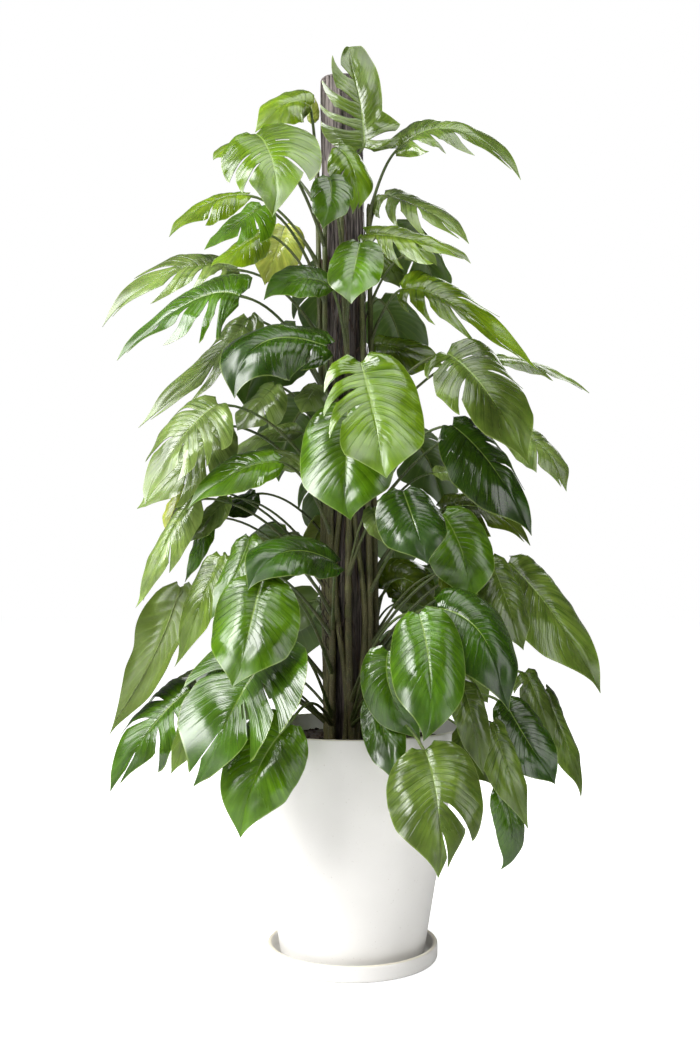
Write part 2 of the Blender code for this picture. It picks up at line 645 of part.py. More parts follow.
def oval(name, radius_x, radius_y, low, high, collection):
    """An upright bar of oval section, following the pole's lean."""
    shape = bmesh.new()
    bmesh.ops.create_cone(
        shape, cap_ends=True, segments=2 * POLE_RIBS, radius1=1.0, radius2=1.0, depth=high - low
    )
    for v in shape.verts:
        centre = pole_centre((low + high) / 2 + v.co.z)
        v.co = centre + Vector((v.co.x * radius_x, v.co.y * radius_y, 0.0))
    mesh = bpy.data.meshes.new(name)
    shape.to_mesh(mesh)
    shape.free()
    return add_object(name, mesh, collection)


def soil(parts, cutters):
    """The soil that fills the pot, with plain holes for the pole and the vines."""
    floor = SAUCER_FLOOR + SEAT + POT_FLOOR + SEAT
    profile = (
        (0.0, SOIL_TOP + SOIL_CROWN),
        (SOIL_SHOULDER, SOIL_TOP + 0.7 * SOIL_CROWN),
        (pot_radius(SOIL_TOP) - POT_WALL - 2 * SEAT, SOIL_TOP),
        (pot_radius(floor) - POT_WALL - 2 * SEAT, floor),
        (0.0, floor),
    )
    made = turned("soil", profile, parts, "soil", closed=False)
    wide, deep = POLE_X + POLE_HOLE_EXTRA, POLE_Y + POLE_HOLE_EXTRA
    holes = [oval("hole_pole", wide, deep, POLE_FOOT - SEAT, SOIL_TOP + SOIL_CROWN + 0.001, cutters)]
    for vine in VINES:
        shape = bmesh.new()
        bmesh.ops.create_cone(
            shape,
            cap_ends=True,
            segments=HOLE_SIDES,
            radius1=VINE_R + VINE_HOLE_EXTRA,
            radius2=VINE_R + VINE_HOLE_EXTRA,
            depth=HOLE_TOP - VINE_FOOT + SEAT,
        )
        middle = vine_point(vine, VINE_FOOT)
        middle.z = (HOLE_TOP + VINE_FOOT - SEAT) / 2
        bmesh.ops.translate(shape, verts=shape.verts, vec=middle)
        mesh = bpy.data.meshes.new("hole_" + vine.name)
        shape.to_mesh(mesh)
        shape.free()
        holes.append(add_object("hole_" + vine.name, mesh, cutters))
    for hole in holes:
        hole.hide_render = True
        hole.display_type = "WIRE"
        cut = made.modifiers.new(hole.name, "BOOLEAN")
        cut.operation = "DIFFERENCE"
        cut.object = hole
    return made


def pole(parts):
    """The tree fern pole: plain in the soil, ribbed with upright roots above it."""
    low = SOIL_TOP + SOIL_CROWN + 0.001
    made = oval("pole", POLE_X, POLE_Y, POLE_FOOT, low, parts)
    made.data.materials.append(material("fern"))
    shape = bmesh.new()
    shape.from_mesh(made.data)
    top = max(shape.faces, key=lambda f: f.calc_center_median().z)
    for ring in range(1, POLE_RINGS + 1):
        z = low + (POLE_TOP - low) * ring / POLE_RINGS
        raised = bmesh.ops.extrude_face_region(shape, geom=[top])["geom"]
        bmesh.ops.delete(shape, geom=[top], context="FACES_ONLY")
        top = next(f for f in raised if isinstance(f, bmesh.types.BMFace))
        for v in top.verts:
            v.co += pole_centre(z) - pole_centre(v.co.z)
    for v in shape.verts:
        if v.co.z < low + 0.01:
            continue
        centre = pole_centre(v.co.z)
        angle = math.atan2(v.co.y, v.co.x - centre.x)
        rib = math.cos(POLE_RIBS * angle) - 1
        swell = POLE_SWELL * math.sin(3 * angle + 7 * v.co.z)
        grow = 1 + (POLE_RIB_DEPTH * rib + swell) / POLE_X
        v.co.x = centre.x + (v.co.x - centre.x) * grow
        v.co.y = v.co.y * grow
    shape.to_mesh(made.data)
    shape.free()
    return made


def main():
    for old in list(bpy.data.objects):
        bpy.data.objects.remove(old)
    parts = bpy.data.collections.new("dragon_tail_plant")
    cutters = bpy.data.collections.new("cutters")
    bpy.context.scene.collection.children.link(parts)
    bpy.context.scene.collection.children.link(cutters)
    saucer(parts)
    pot(parts)
    soil(parts, cutters)
    pole(parts)
    for vine in VINES:
        leafy_vine(vine, parts)


main()
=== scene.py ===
"""Looks of the potted dragon tail plant: fine leaves, stalks, stems, pole, soil, pot and saucer.

Leaves keep the places and the outline of the plain model and add side veins, cut lobes with rounded
ends, holes by the midrib and a raised midrib below. Metres, +Z up, the front faces -Y.
"""

import math
import random
from collections import namedtuple

import bmesh
import bpy
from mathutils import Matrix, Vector, noise


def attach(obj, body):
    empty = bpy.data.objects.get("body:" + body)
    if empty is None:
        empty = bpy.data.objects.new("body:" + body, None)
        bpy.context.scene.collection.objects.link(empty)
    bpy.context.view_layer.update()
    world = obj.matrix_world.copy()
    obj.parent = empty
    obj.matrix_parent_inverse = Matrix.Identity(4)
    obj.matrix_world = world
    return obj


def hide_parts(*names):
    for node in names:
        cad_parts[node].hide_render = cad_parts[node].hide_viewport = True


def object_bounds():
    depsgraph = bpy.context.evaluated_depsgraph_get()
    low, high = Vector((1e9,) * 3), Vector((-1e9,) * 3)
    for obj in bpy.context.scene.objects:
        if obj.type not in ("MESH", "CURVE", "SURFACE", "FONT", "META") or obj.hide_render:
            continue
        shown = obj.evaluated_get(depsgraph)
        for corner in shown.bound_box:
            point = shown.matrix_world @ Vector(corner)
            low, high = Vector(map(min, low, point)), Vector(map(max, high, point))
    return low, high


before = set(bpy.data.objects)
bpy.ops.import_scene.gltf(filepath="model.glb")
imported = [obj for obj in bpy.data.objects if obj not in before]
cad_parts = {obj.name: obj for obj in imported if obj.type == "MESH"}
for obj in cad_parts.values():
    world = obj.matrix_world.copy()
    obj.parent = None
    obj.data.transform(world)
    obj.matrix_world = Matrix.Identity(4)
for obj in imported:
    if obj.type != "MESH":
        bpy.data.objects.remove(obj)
CAD_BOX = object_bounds()

# Sizes shared with the plain model
SAUCER_R = 0.140
SAUCER_H = 0.027
SAUCER_FLOOR = 0.006
SAUCER_WALL = 0.008
POT_BASE_R = 0.1175
POT_RIM_R = 0.179
POT_RIM_Z = 0.380
POT_WALL = 0.006
POT_FLOOR = 0.010
DRAIN_R = 0.010
SOIL_TOP = 0.352
SOIL_CROWN = 0.006
SEAT = 0.0003
POT_FOOT = SAUCER_FLOOR + SEAT
POLE_X = 0.033
POLE_Y = 0.028
POLE_FOOT = 0.090
POLE_TOP = 1.444
POLE_SHIFT = -0.019
POLE_STRAIGHT = SOIL_TOP + SOIL_CROWN + 0.002
VINE_R = 0.0062
VINE_GAP = 0.0028
VINE_TAPER = 0.35
VINE_FOOT = 0.300
VINE_WANDER = 5
VINE_WANDER_RATE = 9
STALK_R = 0.0027
STALK_TIP_R = 0.0020
LOWEST_STALK = SOIL_TOP + 0.030
LEAST_RISE = 0.03
RISE_BY_REACH = 0.45
BELOW_TOP = 0.02

# Blade form, shared with the plain model
BLADE = 0.0008
MIDDLE_WIDTH = 72
SMALL_WIDTH = 46
LEAST_VISIBLE = 0.70
LOBE_BACK = 0.05
VEIN_SWEEP = 2.4
VEIN_BEND = 1.4
# The outline: round at the base, then tapering, less so on a broad leaf, to a drawn out tip
BASE_POWER = 0.40
BASE_ROUND = 0.005
BROAD_TAPER = 0.55
SLIM_TAPER = 0.80
BROAD_FROM = 0.62
SLIM_FROM = 0.36
TIP_SLIM = 0.90
TIP_FROM = 0.68
TIP_POWER = 1.6
# The bend: a twist round the midrib, a fold along it, sides that hang, and a waved margin
PHASE_STEP = 2.4
TWIST = 0.30
TWIST_FROM = 0.4
FOLD = 0.32
HANG_SPREAD = 0.3
EDGE_CURL = 0.07
WAVE = 0.035
WAVES = 9
BULGE = 0.05
# How much narrower a lobe starts, for each lobe on its side
LOBE_STEP = 0.08
# Where a leaf's narrow side gets narrow, and how soon
LEAN_FROM = 0.22
LEAN_RUN = 0.13

# The grid of a blade: where its main rows leave the midrib, the side veins from each of them to the
# next, the fine rows for a vein, and the step between its columns, which crowd towards the margin
Grid = namedtuple("Grid", "rows veins per_vein step")
BROAD_GRID = Grid((0.0, 0.08, 0.18, 0.30, 0.46, 0.68, 1.0), (1, 2, 2, 3, 4, 4), 4, 0.12)
MIDDLE_GRID = Grid((0.0, 0.10, 0.24, 0.42, 0.66, 1.0), (1, 2, 3, 3, 4), 4, 0.14)
SMALL_GRID = Grid((0.0, 0.13, 0.36, 0.66, 1.0), (1, 3, 3, 3), 3, 0.20)
COLUMN_CROWD = 0.9
RIB_COLUMNS = (0.0, 0.03, 0.08)
# Their relief between the side veins, which fades out by the midrib, the margin and the tip
CALM_SPACING = 0.012
QUILT = 0.072
QUILT_POWER = 0.9
FADE_BY_RIB = 0.22
FADE_BY_MARGIN = 0.25
FADE_BY_TIP = 0.25
FADED_AT = 1.02
VEIN_UNEVEN = 7.3
BUCKLES = (4.5, 2.2)
RIB_GROOVE = 0.0007
RIB_GROOVE_RUN = 0.04
RIPPLE = 0.0010
RIPPLES = 31
BUCKLE = 0.031
TIP_CALM = 0.012
TIP_HOOK = 0.05
HOOK_FROM = 0.8
# The ends of the lobes
SLIT_ROUND = 0.6
LOBE_ROUND = 0.03
CORNER_FROM = 0.4
CORNER_RUN = 0.1
LOBE_HOOK = 0.05
SLIT_CLOSE = 0.35
# The holes by the midrib: how many, between which side veins, and in which columns
PINHOLES = 2
PINHOLE_VEINS = (2, 9)
PINHOLE_COLUMNS = (-5, -4, 2, 3)
# Each leaf takes its streaks from another stretch of the noise
STREAK_STRETCH = 20
STREAK_STRETCHES = 100

# Stalks: steps along and round, wide at the stem, thick at the knee, and the midrib they go on as
STALK_STEPS = 14
STALK_SIDES = 8
STALK_LEAST = 0.55
STALK_FULL_AT = 0.10
CLASP_RUN = 0.25
CLASP_GROWTH = 0.6
KNEE_AT = 0.97
KNEE_RUN = 0.05
KNEE_GROWTH = 0.35
MIDRIB_R = 0.0016
RIB_STEPS = 12
RIB_FROM = 0.03
RIB_RUN = 0.9
RIB_TAPER = 0.8
RIB_SUNK = 0.4

# Stems and their nodes
STEM_STEPS = 110
STEM_SIDES = 14
FIRST_NODE = 0.02
NODE_GAP = (0.035, 0.06)
NODE_RUN = 0.006
NODE_GROWTH = 0.13
BETWEEN_NODES = 0.94

# Younger bare stems, which lift off the pole at their top
SHOOT_R = 0.0056
SHOOT_STEPS = 60
SHOOT_SIDES = 10
SHOOT_SWAY = 13
SHOOT_TURNS = 16
SHOOT_TAPER = 0.35
SHOOT_NODES = 9
SHOOT_NODE_RUN = 0.25
SHOOT_NODE_GROWTH = 0.12
SHOOT_GAP = 0.0015
SHOOT_LIFT = 0.04
SHOOT_LIFT_FROM = 0.9

# Roots: those that hold the pole, and the free dark ones that curl down
ROOT_SIDES = 5
ROOT_STEPS = 8
ROOT_R = (0.0007, 0.0013)
ROOT_DROP = (0.03, 0.11)
ROOT_TURN = (12, 34)
ROOT_CLEAR = 0.0010
ROOT_LIFT = 0.004
CURL_R = 0.0008
CURL_STEPS = 30
CURL_SWAY = 9
CURL_DROP = 0.09
CURL_GAP = 0.007
CURL_BOW = 0.004

# The pole: its corners round and along, how far out the rings on its top lie, and its relief
POLE_SIDES = 132
POLE_RINGS = 230
POLE_END = (0.97, 0.86, 0.68, 0.45, 0.2, 0.0)
FIBRES_ROUND = 9
FIBRES_UP = 5
FINER = 2.3
FINE_SHARE = 0.6
LUMPS_ROUND = 1.5
LUMPS_UP = 9
STRAND_RELIEF = 0.0012
LUMP_RELIEF = 0.0006
POLE_INSET = 0.0010
END_RELIEF = 0.003
STRANDS = 150
STRAND_STEPS = 10
STRAND_LEAST = 0.10
STRAND_LENGTH = (0.08, 0.30)
STRAND_LEAN = 14
STRAND_R = (0.0005, 0.0012)
STRAND_CLEAR = 0.0002
STRAND_BOW = 0.0014

# Pot, saucer and soil
POT_SIDES = 144
INNER_ROUND = 0.004
FOOT_ROUND = 0.005
SAUCER_ROUND = 0.006
SOIL_SIDES = 120
SOIL_RINGS = 34
SOIL_LUMPS = 0.0022
SOIL_NOISE = ((45, 1.0), (130, 0.5), (300, 0.3))
CRUMBS = 420
CRUMB_R = (0.0012, 0.0042)
CRUMB_FLAT = (0.4, 0.9)
CRUMB_SLIM = (0.6, 1.0)
CRUMB_UNEVEN = (0.8, 1.2)
CRUMB_PROUD = 0.3

# Where a noise of the materials mostly lies
NOISE_SPAN = (0.3, 0.7)

# A foliage piece's materials by their place in its list, and the angle from which an edge is sharp
LOWER_SLOT = 1
STALK_SLOT = 2
ROOT_SLOT = 3
SHARP = math.radians(50)

# What all random draws start from
SEED = 7

# Where the leaves are seen from
EYE_DISTANCE = 1.955
EYE_HEIGHT = 0.632
AXIS_PX = 352.5
HORIZON_PX = 572.0
METRES_PER_PX = 0.00165
PHOTO_W_PX = 700
PHOTO_H_PX = 1050
FOCAL_PX = EYE_DISTANCE / METRES_PER_PX
SENSOR_MM = 36

# The room: its least light, what glows (direction, where it starts, how much), and the floor's glow
ROOM_LOW = 0.03
ROOM_LIGHTS = (((-0.6, -0.3, 0.75), 0.3, 0.20), ((0.0, 1.0, 0.1), 0.4, 0.22))
FLOOR_GLOW = 0.85
FLOOR_SIZE = 14.0
WHITE = (1.0, 1.0, 1.0, 1.0)
# The lamps: where each stands, how wide it is and its power. They look at the plant's middle.
LAMPS = {
    "key": ((-2.6, -2.4, 2.9), 2.0, 214),
    "side": ((-2.9, -0.3, 2.6), 1.6, 62),
    "above": ((0.5, -0.9, 3.5), 2.2, 60),
    "fill": ((2.6, -2.0, 1.4), 1.6, 24),
    "behind": ((0.9, 2.6, 2.4), 1.6, 22),
}
PLANT_MIDDLE = Vector((0.0, 0.0, 0.8))
# How light spreads inside a leaf
LEAF_GLOW = {"Subsurface Weight": 0.15, "Subsurface Radius": (0.5, 1.0, 0.15), "Subsurface Scale": 0.002}

# A leaf: base, middle and tip in pixels seen from the front, depth of base and tip in cm towards the
# viewer, full width in pixels, the way its upper face looks (azimuth from the front, elevation), the
# rows cut on its left and right, where the cuts start, how far they gape, how much the sides hang,
# how high the stalk arches, how far the tip is drawn out, and how much narrower its left side is.
Leaf = namedtuple(
    "Leaf",
    "name base mid tip depth width face left right start gap hang arch drip lean",
    defaults=((), (), 0.40, 0.05, 0.62, 0.16, 1.0, 0.0),
)

# A vine: its angle round the pole from the front, its height and its leaves, a younger bare stem beside
# it (the turn to it in degrees, and its top), and the heights where free dark roots start.
Vine = namedtuple("Vine", "name angle top leaves shoot curls", defaults=((),))

FRONT = (
    Leaf("crown", (364, 148), (360, 100), (345, 47), (6, 4), 92, (0, 8), (1,), (2, 3, 4, 5), 0.15, 0.12,
         drip=0.0, lean=0.7),
    Leaf("neck_right", (338, 148), (354, 172), (354, 214), (10, 11), 45, (15, 30), (2,), (3,)),
    Leaf("neck", (329, 177), (331, 200), (322, 229), (14, 17.5), 46, (-5, 25), (2,), (2,)),
    Leaf("pale_chest", (360, 243), (354, 272), (349, 304), (16, 21), 58, (-10, 25)),
    Leaf("chest_left", (330, 286), (300, 279), (262, 298), (12.5, 15), 45, (-10, 40)),
    Leaf("heart_back", (348, 408), (346, 465), (345, 520), (14, 19), 102, (-5, 12)),
    Leaf("heart", (361, 362), (376, 425), (382, 478), (21, 29), 106, (5, 25), (1, 2, 3), (), 0.2, 0.06),
    Leaf("waist", (403, 491), (415, 525), (427, 564), (20, 24), 72, (10, 20)),
    Leaf("waist_pale", (372, 508), (378, 525), (386, 545), (16, 17.5), 24, (30, 20)),
    Leaf("lap", (388, 651), (392, 695), (423, 738), (21, 20), 60, (-10, 20)),
    Leaf("lap_low", (380, 696), (385, 739), (399, 784), (15.5, 24.5), 46, (-10, 25)),
    Leaf("knee", (419, 614), (430, 672), (429, 742), (25, 31), 80, (0, 20)),
    Leaf("pot_right", (425, 750), (438, 805), (441, 878), (26, 32.5), 102, (5, 12), (), (4, 5), 0.15, 0.09),
)

FRONT_LEFT = (
    Leaf("shoulder", (256, 134), (272, 160), (277, 216), (17.5, 25), 106, (-10, 35), (3, 4), (4,), 0.3, 0.06),
    Leaf("strap", (262, 206), (236, 225), (205, 250), (15, 17.5), 50, (-30, 35), (), (2, 3)),
    Leaf("arm", (240, 296), (190, 302), (117, 360), (15, 12.5), 76, (-20, 42), (4,), (2, 3, 4, 5),
         0.25, 0.09),
    Leaf("chest", (326, 346), (262, 343), (231, 398), (15, 20), 74, (-10, 35), (), (1,), 0.3, 0.04),
    Leaf("hand", (218, 404), (180, 440), (142, 503), (12.5, 14), 75, (-30, 30), (2, 4), (2, 3, 4),
         0.25, 0.09),
    Leaf("inner", (318, 385), (309, 398), (300, 413), (7.5, 9), 34, (-10, 20)),
    Leaf("elbow", (279, 462), (236, 472), (186, 508), (14, 16), 44, (-15, 40)),
    Leaf("hip", (336, 563), (285, 552), (247, 590), (17.5, 27.5), 56, (-10, 40)),
    Leaf("thigh_slim", (250, 537), (235, 575), (212, 620), (15, 17.5), 40, (-30, 20)),
    Leaf("thigh_glossy", (221, 556), (202, 600), (178, 669), (10, 11), 40, (-35, 20)),
    Leaf("thigh", (262, 580), (249, 630), (237, 688), (25, 31), 94, (-10, 25)),
    Leaf("skirt", (281, 643), (238, 700), (199, 789), (21, 26), 118, (-33, 30), (3, 5), (3, 4),
         0.2, 0.06, 0.24),
    Leaf("skirt_inner", (205, 694), (188, 732), (172, 775), (15, 16), 36, (-30, 20)),
    Leaf("pot_left", (290, 724), (258, 770), (240, 838), (22.5, 26), 82, (-12, 18)),
)

LEFT = (
    Leaf("ear", (310, 106), (286, 104), (257, 133), (0, 2), 50, (-10, 32)),
    Leaf("bud", (313, 122), (311, 106), (308, 91), (-3, -3), 14, (-20, 0), drip=0.5),
    Leaf("ear_low", (245, 150), (228, 148), (213, 160), (-3, -3), 32, (-10, 40)),
    Leaf("wing", (247, 195), (207, 204), (168, 236), (4, 5), 36, (-10, 50), (), (2,)),
    Leaf("wing_low", (262, 232), (238, 248), (210, 266), (5, 6), 36, (-20, 40)),
    Leaf("pale_back", (284, 226), (276, 252), (262, 284), (-1.5, 0), 52, (-10, 10)),
    Leaf("wing_long", (235, 270), (172, 272), (100, 324), (0, 1), 54, (-5, 42), (3,), (1, 2, 3, 4),
         0.25, 0.09),
    Leaf("streamer", (248, 318), (208, 365), (138, 427), (4, 6), 50, (-20, 45), (2,), (2, 3, 4), 0.3, 0.09),
    Leaf("fold", (275, 385), (255, 408), (238, 431), (3, 4), 45, (-20, 40), (), (2,)),
    Leaf("hand_back", (222, 425), (180, 470), (138, 511), (3, 4), 62, (-20, 40), (), (2, 3)),
    Leaf("pale_edge", (194, 498), (163, 548), (140, 610), (5, 6), 36, (-30, 25), (), (2,)),
    Leaf("slim_dark", (208, 517), (200, 545), (186, 583), (0, 0), 26, (-50, 20)),
    Leaf("sail", (180, 587), (155, 655), (107, 733), (3, 3), 52, (150, -15)),
    Leaf("hem", (190, 690), (152, 727), (110, 791), (5, 6), 70, (-25, 40), (2, 3), (2, 3, 4), 0.25, 0.10),
    Leaf("hem_inner", (203, 676), (182, 690), (162, 710), (2, 2), 30, (-20, 45)),
    Leaf("dark_notch", (229, 672), (212, 672), (198, 690), (7, 8), 30, (-20, 40)),
    Leaf("edge_back", (193, 489), (176, 508), (166, 534), (0, 1), 28, (-30, 30)),
    Leaf("slim_back", (228, 497), (208, 520), (187, 542), (2, 2), 26, (-30, 30)),
    Leaf("shoot_left", (301, 468), (282, 455), (260, 462), (4, 4), 22, (-15, 45)),
)

RIGHT = (
    Leaf("banner", (398, 149), (455, 130), (523, 178), (2, 3), 60, (10, 50), (1, 2, 3, 4), (), 0.3, 0.07),
    Leaf("comb", (384, 195), (424, 209), (470, 243), (-3.5, 2), 58, (10, 50), (1, 2, 3, 4), (2, 3),
         0.25, 0.09),
    Leaf("grey_tuft", (404, 256), (420, 250), (437, 266), (2, 2), 24, (10, 40)),
    Leaf("wing_right", (402, 289), (455, 305), (536, 372), (4, 5), 64, (15, 45), (1, 2, 3, 4), (2, 3),
         0.3, 0.07),
    Leaf("whip", (495, 358), (540, 367), (590, 394), (-8, -8), 34, (10, 70), (2, 3), (2,), 0.3, 0.08),
    Leaf("drape", (500, 425), (545, 450), (563, 492), (0, 0), 42, (20, 40), (2, 3), (), 0.3),
    Leaf("blade_edge", (434, 473), (462, 477), (502, 504), (-3, -3), 30, (10, 72)),
    Leaf("hip_right", (443, 510), (488, 510), (530, 546), (2, 2), 44, (15, 45), (2, 3), (), 0.3),
    Leaf("long_right", (508, 563), (552, 612), (602, 692), (4, 5), 68, (35, 30)),
    Leaf("behind_pole", (374, 345), (405, 350), (445, 366), (-6, -7), 44, (10, 30)),
    Leaf("round_dark", (385, 590), (408, 580), (433, 612), (-3, -2), 56, (10, 25)),
    Leaf("hem_right", (545, 690), (565, 740), (584, 797), (2, 2), 34, (45, 20)),
    Leaf("curl", (520, 618), (534, 622), (538, 645), (3, 3), 24, (10, 30)),
    Leaf("grey_back", (478, 588), (484, 603), (490, 622), (3, 3), 30, (15, 25)),
    Leaf("lobe_dark", (382, 258), (392, 270), (399, 288), (-1, -1), 26, (15, 25)),
    Leaf("wedge", (445, 572), (457, 588), (470, 603), (5, 5), 28, (10, 30)),
    Leaf("low_right", (455, 662), (473, 680), (486, 704), (3, 3), 34, (15, 25)),
)

FRONT_RIGHT = (
    Leaf("cuff", (366, 234), (420, 241), (472, 262), (11, 15), 52, (10, 45), (1, 2, 3, 4), (), 0.3, 0.08),
    Leaf("bough", (447, 353), (487, 392), (530, 464), (11, 15), 92, (25, 30), (1, 3), (2, 3), 0.3, 0.06),
    Leaf("dark_right", (452, 425), (495, 470), (531, 536), (10, 11), 68, (20, 35), (), (2, 3), 0.3, 0.07),
    Leaf("bright", (443, 514), (463, 555), (467, 602), (15, 16), 72, (10, 25)),
    Leaf("grey_hang", (490, 560), (508, 605), (520, 651), (11, 14), 50, (25, 20)),
    Leaf("dark_knee", (438, 608), (484, 638), (504, 712), (21, 24), 78, (15, 25)),
    Leaf("hang_a", (462, 684), (474, 725), (481, 776), (20, 21), 38, (20, 15)),
    Leaf("hang_b", (492, 722), (508, 770), (528, 831), (17.5, 19), 40, (25, 15)),
    Leaf("hang_c", (505, 702), (530, 745), (556, 783), (10, 11), 54, (25, 25)),
    Leaf("hang_d", (525, 672), (538, 700), (554, 747), (6, 5.5), 36, (30, 25), (1, 3)),
    Leaf("hang_f", (463, 728), (475, 758), (496, 784), (12.5, 14), 34, (15, 15)),
    Leaf("hang_e", (500, 786), (512, 830), (503, 872), (10, 11), 34, (20, 10), arch=0.45),
)

BACK_LEFT = (
    Leaf("shade_a", (299, 432), (260, 438), (221, 472), (-4, -4), 30, (-10, 60)),
    Leaf("shade_b", (256, 493), (238, 502), (212, 513), (-3, -3), 26, (-10, 50)),
    Leaf("shade_c", (316, 600), (290, 612), (278, 645), (-8, -9), 44, (190, 10)),
    Leaf("shade_e", (327, 520), (314, 540), (306, 566), (-4.5, -5), 30, (200, 10)),
)

BACK_RIGHT = (
    Leaf("shade_d", (395, 604), (412, 604), (432, 624), (-10, -11), 28, (170, 10)),
)

# Leaves on the side that the front view hides, placed by a rule: their spread round the pole, their
# lowest and highest base, their reach from the pole's middle, and their length, low and high. Their
# middle and tip lie out and down by a share of the length, and their width is a share of it too.
HIDDEN_LEAVES = 7
HIDDEN_FROM = 118
HIDDEN_SPREAD = 60
HIDDEN_BASE = (0.47, 1.22)
HIDDEN_REACH = (0.175, 0.095)
HIDDEN_LENGTH = (0.235, 0.175)
HIDDEN_MIDDLE = (0.38, 0.22)
HIDDEN_TIP = (0.62, 0.68)
HIDDEN_WIDTH = 0.60
HIDDEN_LIFT = 40
HIDDEN_CUT_FROM = 0.3
GOLDEN = 0.618034

# The greens of the leaves, as shown on a screen: of most leaves, and of those named here
# Which leaf takes which green follows how light or dark it looks, so they are partly painted light: the pale
# and sage greens on back and shaded leaves stand in for light on them, the deep green partly for shade.
GREEN = (56, 92, 8)
GREENS_AND_PAINTED_LIGHT = {
    (96, 124, 16): "ear_low wing_low wing cuff wing_right behind_pole ear",
    (86, 118, 12): "shoulder heart neck_right",
    (70, 108, 8): "neck pale_chest strap thigh thigh_slim heart_back elbow bright pot_left",
    (36, 67, 5): "chest dark_notch dark_right shade_b curl dark_knee waist hip hang_c",
    (76, 95, 12): "sail hem_inner hip_right round_dark wedge",
    (80, 102, 40): "crown grey_tuft grey_hang long_right hang_a skirt_inner hang_f pot_right banner "
                   "hem_right thigh_glossy low_right lobe_dark bough hang_b hang_d",
    (114, 138, 76): "streamer fold pale_edge hand hand_back wing_long shade_c blade_edge whip comb "
                    "grey_back inner slim_back shoot_left shade_a drape waist_pale shade_d",
    (188, 202, 100): "pale_back bud shade_e edge_back",
}
# The least share of its green's light that a leaf has, and the span from there to the most
GREEN_LEAST = 0.85
GREEN_SPREAD = 0.3
PINHOLED = "shoulder skirt bough hidden_1 hidden_4"


def shown(colour):
    """A colour named as a screen shows it, as the shaders take it."""
    return (*(((c / 255 + 0.055) / 1.055) ** 2.4 if c > 10 else c / 255 / 12.92 for c in colour), 1.0)


def between(low, high, share):
    """The value at a share of the way from low to high."""
    return low + (high - low) * share


def held(share):
    """A share, kept from 0 to 1."""
    return min(max(share, 0.0), 1.0)


def beyond(share, start):
    """How far a share lies past the start, as a share of what is left there."""
    return max(0.0, (share - start) / (1 - start))


def blend(colour_a, colour_b, share):
    """A colour between two, or one of them where the share lies outside 0 to 1."""
    return tuple(between(a, b, held(share)) for a, b in zip(colour_a, colour_b))


def bell(distance, width):
    """A soft bump: 1 at its middle, fading out over a width."""
    return math.exp(-((distance / width) ** 2))


def steps(count):
    """Even shares from 0 to 1."""
    return [k / count for k in range(count + 1)]


def bezier(start, handle, end, t):
    """A point on a bent line."""
    return start * (1 - t) ** 2 + handle * (2 * t * (1 - t)) + end * t**2


def looking(azimuth, elevation):
    """A direction from its angle round from the front and its height."""
    turn, lift = math.radians(azimuth), math.radians(elevation)
    return Vector((math.cos(lift) * math.sin(turn), -math.cos(lift) * math.cos(turn), math.sin(lift)))


def pixel_size(depth):
    """How many metres a pixel shows at a depth towards the viewer."""
    return METRES_PER_PX * (EYE_DISTANCE - depth) / EYE_DISTANCE


def pixel_of(place):
    """The pixel and the depth in cm that show a place."""
    scale = pixel_size(-place.y)
    return (AXIS_PX + place.x / scale, HORIZON_PX - (place.z - EYE_HEIGHT) / scale), -100 * place.y


def hidden_leaves(side, start):
    """Leaves up one back vine, each turned on by the golden ratio."""
    leaves = []
    for k in range(HIDDEN_LEAVES):
        share = (k + start) / (HIDDEN_LEAVES - 0.5)
        azimuth = side * (HIDDEN_FROM + HIDDEN_SPREAD * ((k * GOLDEN + start) % 1.0))
        length = between(*HIDDEN_LENGTH, share)
        out = looking(azimuth, 0)
        base = Vector((0, 0, between(*HIDDEN_BASE, share))) + out * between(*HIDDEN_REACH, share)
        spots = []
        for far, down in ((0, 0), HIDDEN_MIDDLE, HIDDEN_TIP):
            spots.append(pixel_of(base + out * length * far - Vector((0, 0, length * down))))
        pixels, depths = [spot[0] for spot in spots], (spots[0][1], spots[2][1])
        width = length * HIDDEN_WIDTH / METRES_PER_PX
        cuts = ((), ()) if k % 3 else ((2,), (3,))
        face = (azimuth, HIDDEN_LIFT)
        leaves.append(Leaf(f"hidden_{k}", *pixels, depths, width, face, *cuts, HIDDEN_CUT_FROM))
    return tuple(leaves)


VINES = (
    Vine("vine_front", 0, 1.26, FRONT, (-24, 0.98), (0.60,)),
    Vine("vine_front_left", -48, 1.22, FRONT_LEFT, (-22, 0.86), (0.62, 0.60, 0.585)),
    Vine("vine_left", -92, 1.30, LEFT, (20, 0.90), (0.63, 0.61)),
    Vine("vine_back_left", -146, 1.24, BACK_LEFT + hidden_leaves(-1, 0.0), (22, 0.82)),
    Vine("vine_back_right", 148, 1.28, BACK_RIGHT + hidden_leaves(1, 0.5), (-20, 0.70)),
    Vine("vine_right", 92, 1.24, RIGHT, (20, 0.95)),
    Vine("vine_front_right", 46, 1.18, FRONT_RIGHT, (-22, 0.90)),
)

# The colours of stems, stalks, midribs, roots and the pole, low or dark first
STEM_LOW = shown((84, 72, 46))
STEM_HIGH = shown((76, 88, 38))
STALK_LOW = shown((66, 78, 32))
STALK_HIGH = shown((80, 108, 38))
RIB_PALE = shown((128, 146, 78))
ROOT_BROWN = shown((66, 50, 38))
ROOT_DARK = shown((22, 18, 14))
FERN_DARK = shown((24, 18, 15))
FERN_LIGHT = shown((80, 66, 56))
FERN_DULL = shown((44, 39, 38))
FERN_GREY = shown((168, 158, 154))
STRAND_DARK = shown((34, 28, 25))
STRAND_PALE = shown((112, 100, 92))
# The fibres' colours, darker low and paler high up, as shown on a screen
ROOT_FIBRE = ((70, 54, 42), (104, 86, 70))
FERN_FIBRE = ((56, 48, 45), (152, 142, 137))


